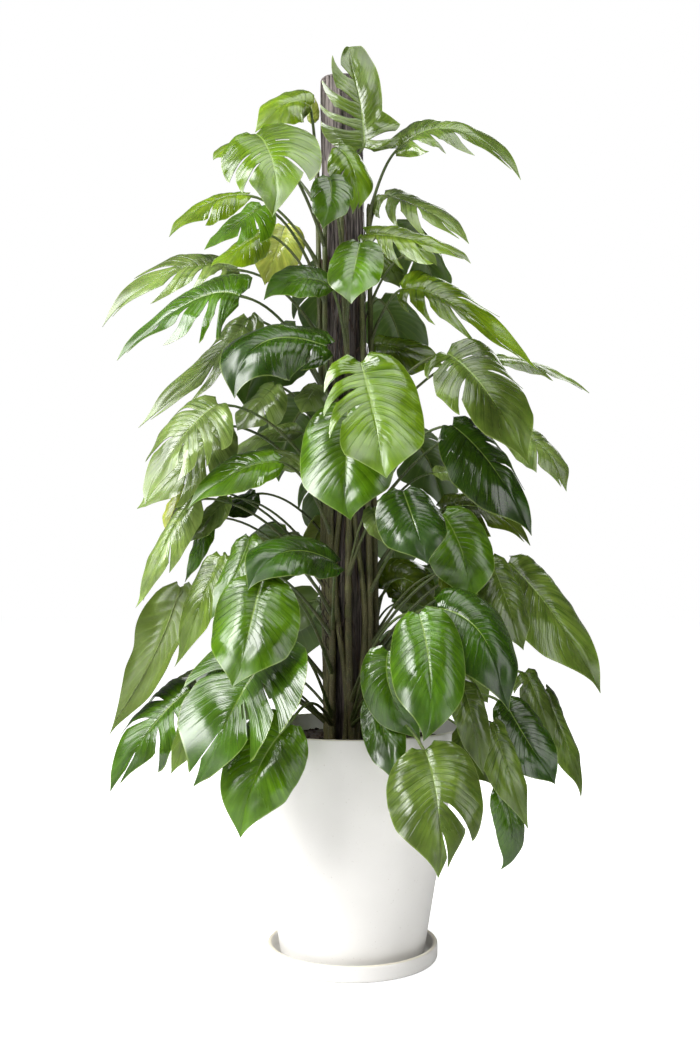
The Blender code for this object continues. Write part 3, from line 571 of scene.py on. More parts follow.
def seen_at(pixel, depth_cm):
    """The place that a pixel shows, at a depth towards the viewer."""
    depth = depth_cm / 100
    scale = pixel_size(depth)
    return Vector(((pixel[0] - AXIS_PX) * scale, -depth, EYE_HEIGHT + (HORIZON_PX - pixel[1]) * scale))


def pole_centre(z):
    """The middle of the pole at a height: it leans a little to the left."""
    share = (z - POLE_STRAIGHT) / (POLE_TOP - POLE_STRAIGHT)
    return Vector((POLE_SHIFT * max(share, 0.0), 0.0, z))


def round_pole(z, degrees, clear):
    """A place at a height and an angle round the pole, clear of its side."""
    angle = math.radians(degrees)
    across, towards = math.sin(angle), math.cos(angle)
    return pole_centre(z) + Vector(((POLE_X + clear) * across, -(POLE_Y + clear) * towards, 0))


def vine_angle(vine, z):
    """The angle of a vine round the pole at a height: it wanders a little."""
    return vine.angle + VINE_WANDER * math.sin(max(z, SOIL_TOP + SOIL_CROWN) * VINE_WANDER_RATE + vine.angle)


def vine_point(vine, z):
    """The middle of a vine at a height, just clear of the pole."""
    return round_pole(z, vine_angle(vine, z), VINE_R + VINE_GAP)


# Leaves


def grid_of(leaf):
    """A leaf's grid, by its width: cuts lie on its main rows."""
    if leaf.width < SMALL_WIDTH:
        return SMALL_GRID
    return MIDDLE_GRID if leaf.width < MIDDLE_WIDTH else BROAD_GRID


def fine_rows(leaf):
    """Each fine row's place on the midrib, its count of side veins, its main row, and a vein's step."""
    main, veins, per_vein, _ = grid_of(leaf)
    rows = [(0.0, 0.0, 0.0, main[1] / veins[0])]
    for k, count in enumerate(veins):
        run = main[k + 1] - main[k]
        for share in steps(count * per_vein)[1:]:
            rows.append((main[k] + run * share, sum(veins[:k]) + count * share, k + share, run / count))
    return rows


def fine_columns(leaf):
    """How far out the fine columns lie, from the midrib past the cuts' start to the margin."""
    step = grid_of(leaf).step
    last = RIB_COLUMNS[-1]
    inner = max(1, round((leaf.start - last) / step))
    outer = max(3, round((1 - leaf.start) / step))
    columns = list(RIB_COLUMNS)
    columns += [between(last, leaf.start, t) for t in steps(inner)[1:]]
    columns += [between(leaf.start, 1, t**COLUMN_CROWD) for t in steps(outer)[1:]]
    return columns


def vein_end(t):
    """Where the side vein that leaves the midrib at t meets the margin."""
    return -LOBE_BACK + (1 + LOBE_BACK) * (1 - (1 - t) ** VEIN_SWEEP)


def cut_rows(leaf, side):
    """The main rows cut on this side of the midrib."""
    return leaf.left if side > 0 else leaf.right


class Blade:
    """The bent surface of one leaf, by its place along the midrib and out from it."""

    def __init__(self, leaf, number):
        self.leaf = leaf
        self.phase = number * PHASE_STEP
        self.base = seen_at(leaf.base, leaf.depth[0])
        self.tip = seen_at(leaf.tip, leaf.depth[1])
        self.face = looking(*leaf.face)
        self.length = (self.tip - self.base).length
        bulge = BULGE * self.length * abs(self.face.y)
        middle = seen_at(leaf.mid, sum(leaf.depth) / 2 + 100 * bulge)
        self.handle = middle * 2 - (self.base + self.tip) / 2
        scale = pixel_size(leaf.depth[0] / 100)
        out = self.along(0.5).cross(self.face).normalized()
        self.half = leaf.width / 2 * scale / max(math.hypot(out.x, out.z), LEAST_VISIBLE)
        slimness = (BROAD_FROM - 2 * self.half / self.length) / (BROAD_FROM - SLIM_FROM)
        self.taper = between(BROAD_TAPER, SLIM_TAPER, held(slimness))
        self.twist = TWIST * math.sin(2 * self.phase + leaf.width)
        self.hang = leaf.hang * (1 + HANG_SPREAD * math.sin(3 * self.phase + leaf.width))
        self.hook = TIP_HOOK * self.length * math.sin(5 * self.phase + 1)

    def rib(self, a):
        """A point of the midrib, straight behind the base."""
        if a < 0:
            return self.base + (self.handle - self.base) * 2 * a
        return bezier(self.base, self.handle, self.tip, a)

    def along(self, a):
        """The midrib's direction."""
        a = held(a)
        return ((self.handle - self.base) * (1 - a) + (self.tip - self.handle) * a).normalized()

    def up(self, a):
        """The way out of the upper face at the midrib."""
        along = self.along(a)
        return along.cross(self.face).normalized().cross(along)

    def half_width(self, e, side):
        """The width of one side at a share of the leaf's length, down to its drawn out tip."""
        u = (e + LOBE_BACK) / (1 + LOBE_BACK)
        if u >= 1:
            return 0.0
        widest = (BASE_POWER - self.taper * BASE_ROUND) / (BASE_POWER + self.taper)
        full = (widest + BASE_ROUND) ** BASE_POWER * (1 - widest) ** self.taper
        slim = 1 - self.leaf.drip * TIP_SLIM * beyond(u, TIP_FROM) ** TIP_POWER
        if side > 0:
            slim *= 1 - self.leaf.lean * held((e - LEAN_FROM) / LEAN_RUN) * (1 - e) ** 0.5
        return self.half * (u + BASE_ROUND) ** BASE_POWER * (1 - u) ** self.taper / full * slim

    def point(self, a, b, side, edge, relief):
        """A point of the surface: b metres out from the midrib, edge from 0 at the rib to 1."""
        along = self.along(a)
        turn = self.twist * (a - TWIST_FROM)
        flat = along.cross(self.face).normalized()
        out = flat * math.cos(turn) + flat.cross(along) * math.sin(turn)
        up = out.cross(along)
        share = b / self.half
        lift = FOLD * b - self.hang * b * share
        wave = WAVE * self.half * edge * share * math.sin(WAVES * a + self.phase + side)
        wave += RIPPLE * edge**2 * share * math.sin(RIPPLES * a + 2 * self.phase + 3 * side)
        aside = side * b * (1 - EDGE_CURL * share**2)
        aside += self.hook * beyond(a, HOOK_FROM) ** 2
        return self.rib(a) + out * aside + up * (lift + wave + relief)

    def spacing(self, row, edge, side):
        """How far apart the side veins run at a grid point."""
        t, _, _, step = row
        end = vein_end(t)
        sweep = (1 + LOBE_BACK) * VEIN_SWEEP * (1 - t) ** (VEIN_SWEEP - 1)
        apart = self.length * step * (1 + (sweep - 1) * edge**VEIN_BEND)
        half = self.half_width(end, side)
        forward = self.length * (end - t) * VEIN_BEND * edge ** (VEIN_BEND - 1)
        return apart * half / max(math.hypot(half, forward), 1e-6)

    def place(self, row, edge, side, shift, narrow):
        """One grid point, puffed up between the side veins, its cut edges moved apart by shift."""
        t, vein, _, _ = row
        past = beyond(edge, self.leaf.start)
        corner = max(0.0, (abs(shift) - CORNER_FROM) / CORNER_RUN) ** 2
        lobes = 1 + len(cut_rows(self.leaf, side))
        edge = edge * (1 - LOBE_STEP * lobes * narrow * past) * (1 - LOBE_ROUND * corner * past**4)
        end = vein_end(t)
        a = t + (end - t) * edge**VEIN_BEND
        a += shift * self.leaf.gap * past**SLIT_ROUND * (1 - SLIT_CLOSE * past**3)
        a += LOBE_HOOK * max(0.0, -2 * shift) ** 3 * past**4
        fade = min(1.0, edge / FADE_BY_RIB) * min(1.0, (FADED_AT - edge) / FADE_BY_MARGIN)
        fade *= min(1.0, (1 - t) / FADE_BY_TIP)
        uneven = 1 + noise.noise(Vector((VEIN_UNEVEN * math.floor(vein), self.phase, side)))
        spacing = self.spacing(row, edge, side)
        calm = min(1.0, spacing / CALM_SPACING)
        relief = QUILT * spacing * calm * uneven * abs(math.sin(math.pi * vein)) ** QUILT_POWER * fade
        spot = Vector((BUCKLES[0] * a, BUCKLES[1] * side * edge, self.phase))
        relief += BUCKLE * self.length * noise.noise(spot) * min(1.0, 2 * edge)
        relief -= RIB_GROOVE * bell(edge, RIB_GROOVE_RUN)
        half = self.half_width(end, side)
        return self.point(a, half * edge, side, edge, relief * min(1.0, half / TIP_CALM))


def green_of(leaf, random_share):
    """The leaf's green, which is partly painted light, a little lighter or darker than the one it has."""
    green = next((green for green, names in GREENS_AND_PAINTED_LIGHT.items() if leaf.name in names.split()), GREEN)
    light = GREEN_LEAST + GREEN_SPREAD * random_share
    return [c * light for c in shown(green)[:3]]


def within_box(place):
    """The place, kept just inside the plain model's box."""
    low, high = CAD_BOX
    inset = SEAT + BLADE / 2
    return Vector(max(a + inset, min(b - inset, c)) for a, b, c in zip(low, high, place))


def add_blade(shape, layers, blade, draw):
    """Grows one leaf: a grid along the side veins, split at the cuts, holed, bent and thickened."""
    leaf = blade.leaf
    rows, columns = fine_rows(leaf), fine_columns(leaf)
    last, wide = len(rows) - 1, len(columns) - 1
    grid = bmesh.ops.create_grid(shape, x_segments=2 * wide, y_segments=last, size=1.0)["verts"]
    where = {v: (round((v.co.y + 1) / 2 * last), round(v.co.x * wide)) for v in grid}
    for v, (row, column) in where.items():
        v[layers["row"]] = row
        v[layers["column"]] = column
    faces = list({f for v in grid for f in v.link_faces})
    opened = []
    for edge in {e for v in grid for e in v.link_edges}:
        (row_a, col_a), (row_b, col_b) = (where[v] for v in edge.verts)
        main = rows[row_a][2]
        outer = min(abs(col_a), abs(col_b))
        if row_a == row_b and main == int(main) and columns[outer] >= leaf.start - 1e-6:
            if int(main) in cut_rows(leaf, col_a + col_b):
                opened.append(edge)
    bmesh.ops.split_edges(shape, edges=opened)
    if leaf.name in PINHOLED.split():
        faces = cut_pinholes(shape, layers, faces, draw)
    tint = green_of(leaf, draw.random())
    first_vein = STREAK_STRETCH * draw.randrange(STREAK_STRETCHES)
    middle_row = {f: sum(v[layers["row"]] for v in f.verts) / 4 for f in faces}
    places = {}
    for v in {v for f in faces for v in f.verts}:
        row, column = v[layers["row"]], v[layers["column"]]
        side = 1 if column > 0 else -1
        cuts = cut_rows(leaf, side)
        main, share = divmod(rows[row][2], 1)
        shift = narrow = 0.0
        if share:
            narrow = (1 - share) * (main in cuts)
            shift = 0.5 * (narrow - share * (main + 1 in cuts))
        elif main in cuts:
            beside = [middle_row[f] for f in v.link_faces]
            narrow = float(sum(beside) / len(beside) > row)
            shift = narrow - 0.5
        places[v] = within_box(blade.place(rows[row], columns[abs(column)], side, shift, narrow))
        v[layers["edge"]] = side * columns[abs(column)]
        v[layers["vein"]] = rows[row][1] + first_vein
        spacing = blade.spacing(rows[row], columns[abs(column)], side)
        v[layers["tint"]] = (*tint, min(1.0, spacing / CALM_SPACING))
    for v, place in places.items():
        v.co = place
    bmesh.ops.remove_doubles(shape, verts=list(places), dist=1e-7)
    thicken(shape, [v for v in places if v.is_valid])


def thicken(shape, verts):
    """Turns a leaf's surface into a blade, with the lower side in the second material."""
    faces = list({f for v in verts for f in v.link_faces})
    for f in faces:
        f.smooth = True
        f.normal_update()
    for v in verts:
        v.normal_update()
    normals = {v: v.normal.copy() for v in verts}
    made = bmesh.ops.extrude_face_region(shape, geom=faces, use_keep_orig=True)["geom"]
    upper = [g for g in made if isinstance(g, bmesh.types.BMVert)]
    for v in verts:
        v.co -= normals[v] * BLADE / 2
    for v in upper:
        v.normal_update()
        v.co += v.normal * BLADE / 2
    for f in faces:
        f.material_index = LOWER_SLOT
    for v in upper:
        for f in v.link_faces:
            f.smooth = True


def cut_pinholes(shape, layers, faces, draw):
    """Opens a few small holes beside the midrib, each two faces wide, between two side veins."""
    holes = set()
    for _ in range(PINHOLES):
        row = BROAD_GRID.per_vein * draw.randint(*PINHOLE_VEINS) + 1
        column = draw.choice(PINHOLE_COLUMNS)
        holes.update(((row, column), (row, column + 1)))
    gone = []
    for f in faces:
        spot = tuple(min(v[layers[name]] for v in f.verts) for name in ("row", "column"))
        if spot in holes:
            gone.append(f)
    bmesh.ops.delete(shape, geom=gone, context="FACES")
    return [f for f in faces if f.is_valid]


# Stalks, stems and roots


def smoothed(points, rounds):
    """The points with their corners rounded: each moves towards its neighbours."""
    for _ in range(rounds):
        inner = [(a + b * 2 + c) / 4 for a, b, c in zip(points, points[1:], points[2:])]
        points = [points[0], *inner, points[-1]]
    return points


def rolled_grid(shape, sides, rings):
    """A grid to roll into a tube: each corner with its angle round and its ring."""
    grid = bmesh.ops.create_grid(shape, x_segments=sides, y_segments=rings, size=1.0)["verts"]
    return {v: (math.pi * (v.co.x + 1), round((v.co.y + 1) / 2 * rings)) for v in grid}


def close_roll(shape, verts, slot):
    """Joins a rolled grid's seam and its ends, and gives it its material."""
    bmesh.ops.remove_doubles(shape, verts=list(verts), dist=1e-6)
    for f in {f for v in verts if v.is_valid for f in v.link_faces}:
        f.material_index = slot
        f.smooth = True


def add_tube(shape, layers, stations, sides, slot, rounds=0):
    """Adds a closed round bar along places with a radius and a colour each, its corners rounded."""
    points, radii, colours = zip(*stations)
    points = smoothed(points, rounds)
    last = len(points) - 1
    frames = []
    sideways = (points[1] - points[0]).orthogonal().normalized()
    for k in range(len(points)):
        ahead = (points[min(k + 1, last)] - points[max(k - 1, 0)]).normalized()
        sideways = (sideways - ahead * sideways.dot(ahead)).normalized()
        frames.append((sideways, ahead.cross(sideways)))
    rolled = rolled_grid(shape, sides, last + 2)
    for v, (angle, ring) in rolled.items():
        k = min(max(ring - 1, 0), last)
        radius = radii[k] if k == ring - 1 else 0.0
        across, over = frames[k]
        v[layers["edge"]] = angle
        v[layers["vein"]] = k / last
        v[layers["tint"]] = colours[k]
        v.co = within_box(points[k] + (across * math.cos(angle) + over * math.sin(angle)) * radius)
    close_roll(shape, rolled, slot)


def stalk_route(vine, blade):
    """The ends and the handle of a leaf stalk: up and out from the vine, over to the blade."""
    end = blade.base
    run = math.hypot(end.x - pole_centre(end.z).x, end.y)
    low = max(end.z - LEAST_RISE - RISE_BY_REACH * run, LOWEST_STALK)
    start = vine_point(vine, min(low, vine.top - BELOW_TOP))
    bend = (start + end) / 2 + Vector((0, 0, blade.leaf.arch * (end - start).length))
    return start, bend * 2 - (start + end) / 2, end


def add_stalk(shape, layers, vine, blade):
    """Adds a leaf's stalk, wide where it clasps the stem and knee-thick at the blade, and its midrib."""
    route = stalk_route(vine, blade)
    small = min(1.0, STALK_LEAST + blade.half / STALK_FULL_AT)
    stations = []
    for t in steps(STALK_STEPS):
        knee = bell(t - KNEE_AT, KNEE_RUN)
        growth = 1 + CLASP_GROWTH * max(0.0, 1 - t / CLASP_RUN) ** 2 + KNEE_GROWTH * knee
        radius = small * between(STALK_R, STALK_TIP_R, t) * growth
        colour = blend(blend(STALK_LOW, STALK_HIGH, t), RIB_PALE, 0.6 * knee)
        stations.append((bezier(*route, t), radius, colour))
    for t in steps(RIB_STEPS)[1:]:
        a = RIB_FROM + RIB_RUN * t
        radius = small * MIDRIB_R * (1 - RIB_TAPER * a)
        place = blade.rib(a) - blade.up(a) * (RIB_GROOVE + BLADE / 2 + radius * RIB_SUNK)
        stations.append((place, radius, blend(RIB_PALE, STALK_HIGH, 0.3)))
    add_tube(shape, layers, stations, STALK_SIDES, STALK_SLOT, 2)


def add_stem(shape, layers, vine, draw):
    """Adds the climbing stem, with a ring at each node, and its roots that hold the pole."""
    stations = []
    nodes = [SOIL_TOP + FIRST_NODE]
    while nodes[-1] < vine.top:
        nodes.append(nodes[-1] + draw.uniform(*NODE_GAP))
    for t in steps(STEM_STEPS):
        z = between(VINE_FOOT, vine.top, t)
        share = (z - SOIL_TOP) / (vine.top - SOIL_TOP)
        ring = bell(min(abs(z - n) for n in nodes), NODE_RUN)
        radius = VINE_R * (1 - VINE_TAPER * max(share, 0)) * (BETWEEN_NODES + NODE_GROWTH * ring)
        colour = blend(blend(STEM_LOW, STEM_HIGH, share), STALK_HIGH, 0.25 * ring)
        stations.append((vine_point(vine, z), radius / 2 if t == 1 else radius, colour))
    add_tube(shape, layers, stations, STEM_SIDES, STALK_SLOT)
    for z in nodes[1:-1]:
        for _ in range(draw.randint(1, 2)):
            add_root(shape, layers, vine, z, draw)


def add_shoot(shape, layers, vine):
    """Adds the younger bare stem beside a vine, that weaves up the pole."""
    turn, top = vine.shoot
    stations = []
    for t in steps(SHOOT_STEPS):
        z = between(VINE_FOOT, top, t)
        ring = bell(math.sin(SHOOT_NODES * z * math.pi), SHOOT_NODE_RUN)
        thick = SHOOT_R * (1 - SHOOT_TAPER * t) * (1 + SHOOT_NODE_GROWTH * ring)
        sway = SHOOT_SWAY * math.sin(SHOOT_TURNS * z + vine.angle + turn)
        clear = thick + SHOOT_GAP + SHOOT_LIFT * max(0.0, t - SHOOT_LIFT_FROM)
        place = round_pole(z, vine.angle + turn + sway, clear)
        stations.append((place, thick, blend(STEM_LOW, STEM_HIGH, 0.2 + 0.5 * t)))
    add_tube(shape, layers, stations, SHOOT_SIDES, STALK_SLOT)


def add_curl(shape, layers, vine, z, draw):
    """Adds one dark free root that curls down beside the pole."""
    stations = []
    angle = vine_angle(vine, z) + draw.uniform(-10, 10)
    for t in steps(CURL_STEPS):
        swing = CURL_SWAY * math.sin(8 * t + z * 40)
        clear = VINE_R + CURL_GAP + CURL_BOW * math.cos(11 * t + z * 30)
        stations.append((round_pole(z - CURL_DROP * t, angle + swing, clear), CURL_R, ROOT_DARK))
    add_tube(shape, layers, stations, ROOT_SIDES, ROOT_SLOT)


def add_root(shape, layers, vine, z, draw):
    """Adds one thin root from a node of the stem, down and round the pole."""
    side = draw.choice((-1, 1))
    drop, turn = draw.uniform(*ROOT_DROP), draw.uniform(*ROOT_TURN)
    points = [vine_point(vine, z)]
    for t in steps(ROOT_STEPS)[1:]:
        low = max(z - drop * t**1.2, SOIL_TOP + SOIL_CROWN)
        angle = vine_angle(vine, z) + side * turn * t**0.7 + draw.uniform(-1.5, 1.5)
        points.append(round_pole(low, angle, ROOT_CLEAR + ROOT_LIFT * (1 - t)))
    thick = draw.uniform(*ROOT_R)
    stations = [(p, thick * (1.1 - 0.6 * t), ROOT_BROWN) for p, t in zip(points, steps(ROOT_STEPS))]
    add_tube(shape, layers, stations, ROOT_SIDES, ROOT_SLOT, 1)


def new_layers(shape):
    """The values that each corner carries, to grow the leaves and for the materials."""
    kinds = {"row": "int", "column": "int", "edge": "float", "vein": "float", "tint": "float_color"}
    corners = shape.verts.layers
    for name, kind in kinds.items():
        getattr(corners, kind).new(name)
    return {name: getattr(corners, kind)[name] for name, kind in kinds.items()}


def put_in_scene(name, data):
    """An object of the scene, made of a mesh, a lamp or a camera."""
    made = bpy.data.objects.new(name, data)
    bpy.context.scene.collection.objects.link(made)
    return made


def mesh_of(shape, name, finishes):
    """A mesh made of a finished shape, with its materials."""
    mesh = bpy.data.meshes.new(name)
    shape.to_mesh(mesh)
    shape.free()
    for finish in finishes:
        mesh.materials.append(finish)
    return mesh


def plant_piece(shape, name, finishes):
    """Makes a shape an object of the plant, with its materials and its sharp edges."""
    mesh = mesh_of(shape, name, finishes)
    mesh.set_sharp_from_angle(angle=SHARP)
    for spare in ("row", "column"):
        if spare in mesh.attributes:
            mesh.attributes.remove(mesh.attributes[spare])
    made = put_in_scene(name, mesh)
    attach(made, "root")
    return made


def leafy_vine(vine, finishes, draw):
    """One climbing stem with its roots, stalks and leaves."""
    shape = bmesh.new()
    layers = new_layers(shape)
    for number, leaf in enumerate(vine.leaves):
        blade = Blade(leaf, number)
        add_blade(shape, layers, blade, draw)
        add_stalk(shape, layers, vine, blade)
    add_stem(shape, layers, vine, draw)
    add_shoot(shape, layers, vine)
    for z in vine.curls:
        add_curl(shape, layers, vine, z, draw)
    made = plant_piece(shape, vine.name + "_foliage", finishes)
    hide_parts(vine.name)


# Pole, soil, pot and saucer


def fern_pole(finish, draw):
    """The tree fern pole: a trunk of matted upright fibres with thin roots over it."""
    shape = bmesh.new()
    layers = new_layers(shape)
    rolled = rolled_grid(shape, POLE_SIDES, POLE_RINGS + len(POLE_END))
    for v, (turn, ring) in rolled.items():
        z = between(POLE_FOOT, POLE_TOP, held((ring - 1) / (POLE_RINGS - 1)))
        past = ring - POLE_RINGS
        reach = 0.0 if ring == 0 else POLE_END[past - 1] if past > 0 else 1.0
        across, towards = -math.cos(turn), math.sin(turn)
        around = Vector((across * FIBRES_ROUND, towards * FIBRES_ROUND, z * FIBRES_UP))
        strand = noise.noise(around) + FINE_SHARE * noise.noise(around * FINER + Vector((5, 3, 1)))
        lump = noise.noise(Vector((across * LUMPS_ROUND, towards * LUMPS_ROUND, z * LUMPS_UP)))
        grow = (STRAND_RELIEF * strand + LUMP_RELIEF * lump - POLE_INSET) * (reach == 1.0)
        if past > 0:
            end = Vector((across * reach * FIBRES_ROUND, towards * reach * FIBRES_ROUND, 4.0))
            z -= END_RELIEF * (1 + noise.noise(end))
        offset = Vector(((POLE_X * reach + grow) * across, -(POLE_Y * reach + grow) * towards, 0))
        v.co = pole_centre(z) + offset
        high = (z - SOIL_TOP) / (POLE_TOP - SOIL_TOP)
        light, dark = blend(FERN_LIGHT, FERN_GREY, high), blend(FERN_DARK, FERN_DULL, high)
        v[layers["tint"]] = blend(dark, light, 0.45 + 0.75 * strand)
        v[layers["edge"]] = turn
        v[layers["vein"]] = z
    close_roll(shape, rolled, 0)
    for _ in range(STRANDS):
        fern_strand(shape, layers, draw)
    made = plant_piece(shape, "fern_pole", [finish])
    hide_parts("pole")


def fern_strand(shape, layers, draw):
    """Adds one loose fibre on the pole's side, nearly upright."""
    low = draw.uniform(SOIL_TOP, POLE_TOP - STRAND_LEAST)
    length = min(draw.uniform(*STRAND_LENGTH), POLE_TOP - END_RELIEF - low)
    angle, lean = draw.uniform(0, 360), draw.uniform(-STRAND_LEAN, STRAND_LEAN)
    points = []
    for t in steps(STRAND_STEPS):
        swing = 3 * noise.noise(Vector((angle, t * 3, 2)))
        bow = STRAND_CLEAR + STRAND_BOW * math.sin(math.pi * t) * draw.uniform(0.3, 1.0)
        points.append(round_pole(low + length * t, angle + lean * t + swing, bow))
    thick = draw.uniform(*STRAND_R)
    colour = blend(STRAND_DARK, STRAND_PALE, draw.random())
    add_tube(shape, layers, [(place, thick, colour) for place in points], 4, 0)


def turned(profile, sides):
    """A shape turned round the upright axis, from its outline."""
    shape = bmesh.new()
    spots = [shape.verts.new((r, 0.0, z)) for r, z in profile]
    edges = [shape.edges.new(pair) for pair in zip(spots, spots[1:])]
    bmesh.ops.spin(
        shape, geom=spots + edges, cent=(0, 0, 0), axis=(0, 0, 1), dvec=(0, 0, 0),
        angle=math.tau, steps=sides, use_merge=True, use_duplicate=False,
    )
    bmesh.ops.remove_doubles(shape, verts=shape.verts, dist=1e-6)
    bmesh.ops.recalc_face_normals(shape, faces=shape.faces)
    for f in shape.faces:
        f.smooth = True
    return shape


def arc(centre_r, centre_z, radius, start, end, count):
    """Points on part of a circle of the outline, by angles in degrees."""
    turns = [math.radians(between(start, end, t)) for t in steps(count)]
    return [(centre_r + radius * math.cos(a), centre_z + radius * math.sin(a)) for a in turns]


def pot_radius(z):
    """The pot's outer radius: a straight taper."""
    return between(POT_BASE_R, POT_RIM_R, (z - POT_FOOT) / (POT_RIM_Z - POT_FOOT))


def fine_pot(finish):
    """The glazed pot with a softly rounded rim and foot and a drain hole."""
    floor = POT_FOOT + POT_FLOOR
    lip = POT_WALL / 2 - 0.0002
    profile = [
        (DRAIN_R, floor),
        *arc(pot_radius(floor) - POT_WALL - INNER_ROUND, floor + INNER_ROUND, INNER_ROUND, -90, 0, 4),
        (POT_RIM_R - POT_WALL - 0.003, POT_RIM_Z - 0.02),
        *arc(POT_RIM_R - lip - 0.0002, POT_RIM_Z - lip, lip, 180, 0, 10),
        *((pot_radius(z), z) for z in (0.34, 0.28, 0.22, 0.16, 0.10, 0.05)),
        *arc(POT_BASE_R - 0.004, POT_FOOT + FOOT_ROUND, FOOT_ROUND, 5, -90, 5),
        (DRAIN_R, POT_FOOT),
        (DRAIN_R, floor),
    ]
    made = plant_piece(turned(profile, POT_SIDES), "glazed_pot", [finish])
    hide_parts("pot")


def fine_saucer(finish):
    """The glazed saucer: an upright wall with a rounded lip."""
    inner = SAUCER_R - SAUCER_WALL
    lip = SAUCER_WALL / 2
    profile = [
        (0.0, SAUCER_FLOOR),
        (inner - 0.008, SAUCER_FLOOR),
        *arc(inner - 0.006, SAUCER_FLOOR + FOOT_ROUND, FOOT_ROUND, -90, 0, 5),
        *arc(SAUCER_R - lip, SAUCER_H - lip, lip, 180, 0, 12),
        *arc(SAUCER_R - SAUCER_ROUND, SAUCER_ROUND, SAUCER_ROUND, 0, -90, 6),
        (0.0, 0.0),
    ]
    made = plant_piece(turned(profile, POT_SIDES), "glazed_saucer", [finish])
    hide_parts("saucer")


def lumpy_soil(finish, draw):
    """The potting soil: a crumbly crowned surface with loose crumbs on it."""
    floor = SAUCER_FLOOR + POT_FLOOR + 2 * SEAT
    edge = pot_radius(SOIL_TOP) - POT_WALL - 2 * SEAT
    profile = [(0.0, floor), (pot_radius(floor) - POT_WALL - 2 * SEAT - INNER_ROUND, floor)]
    profile += [(edge - 0.0005, SOIL_TOP - 0.003)]
    profile += [(edge * k / SOIL_RINGS, SOIL_TOP) for k in range(SOIL_RINGS, -1, -1)]
    shape = turned(profile, SOIL_SIDES)
    for v in shape.verts:
        if v.co.z < SOIL_TOP - 0.002:
            continue
        share = math.hypot(v.co.x, v.co.y) / edge
        lumps = sum(part * noise.noise(v.co * rate) for rate, part in SOIL_NOISE)
        v.co.z += soil_heap(share) + SOIL_LUMPS * lumps * min(1.0, 3 * (1.02 - share))
    for _ in range(CRUMBS):
        angle, reach = draw.uniform(0, math.tau), edge * math.sqrt(draw.uniform(0.03, 0.94))
        size = draw.uniform(*CRUMB_R)
        crumb = bmesh.ops.create_icosphere(shape, subdivisions=1, radius=size)["verts"]
        spot = Vector((reach * math.cos(angle), reach * math.sin(angle), SOIL_TOP))
        spot.z += soil_heap(reach / edge) + size * CRUMB_PROUD
        flat = draw.uniform(*CRUMB_FLAT)
        for v in crumb:
            squashed = Vector((v.co.x, v.co.y * draw.uniform(*CRUMB_SLIM), v.co.z * flat))
            v.co = spot + squashed * draw.uniform(*CRUMB_UNEVEN)
    made = plant_piece(shape, "lumpy_soil", [finish])
    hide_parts("soil")


def soil_heap(share):
    """How high the soil heaps up, by the share of the way out."""
    return SOIL_CROWN * (1 - share**2) * 0.8


# Materials


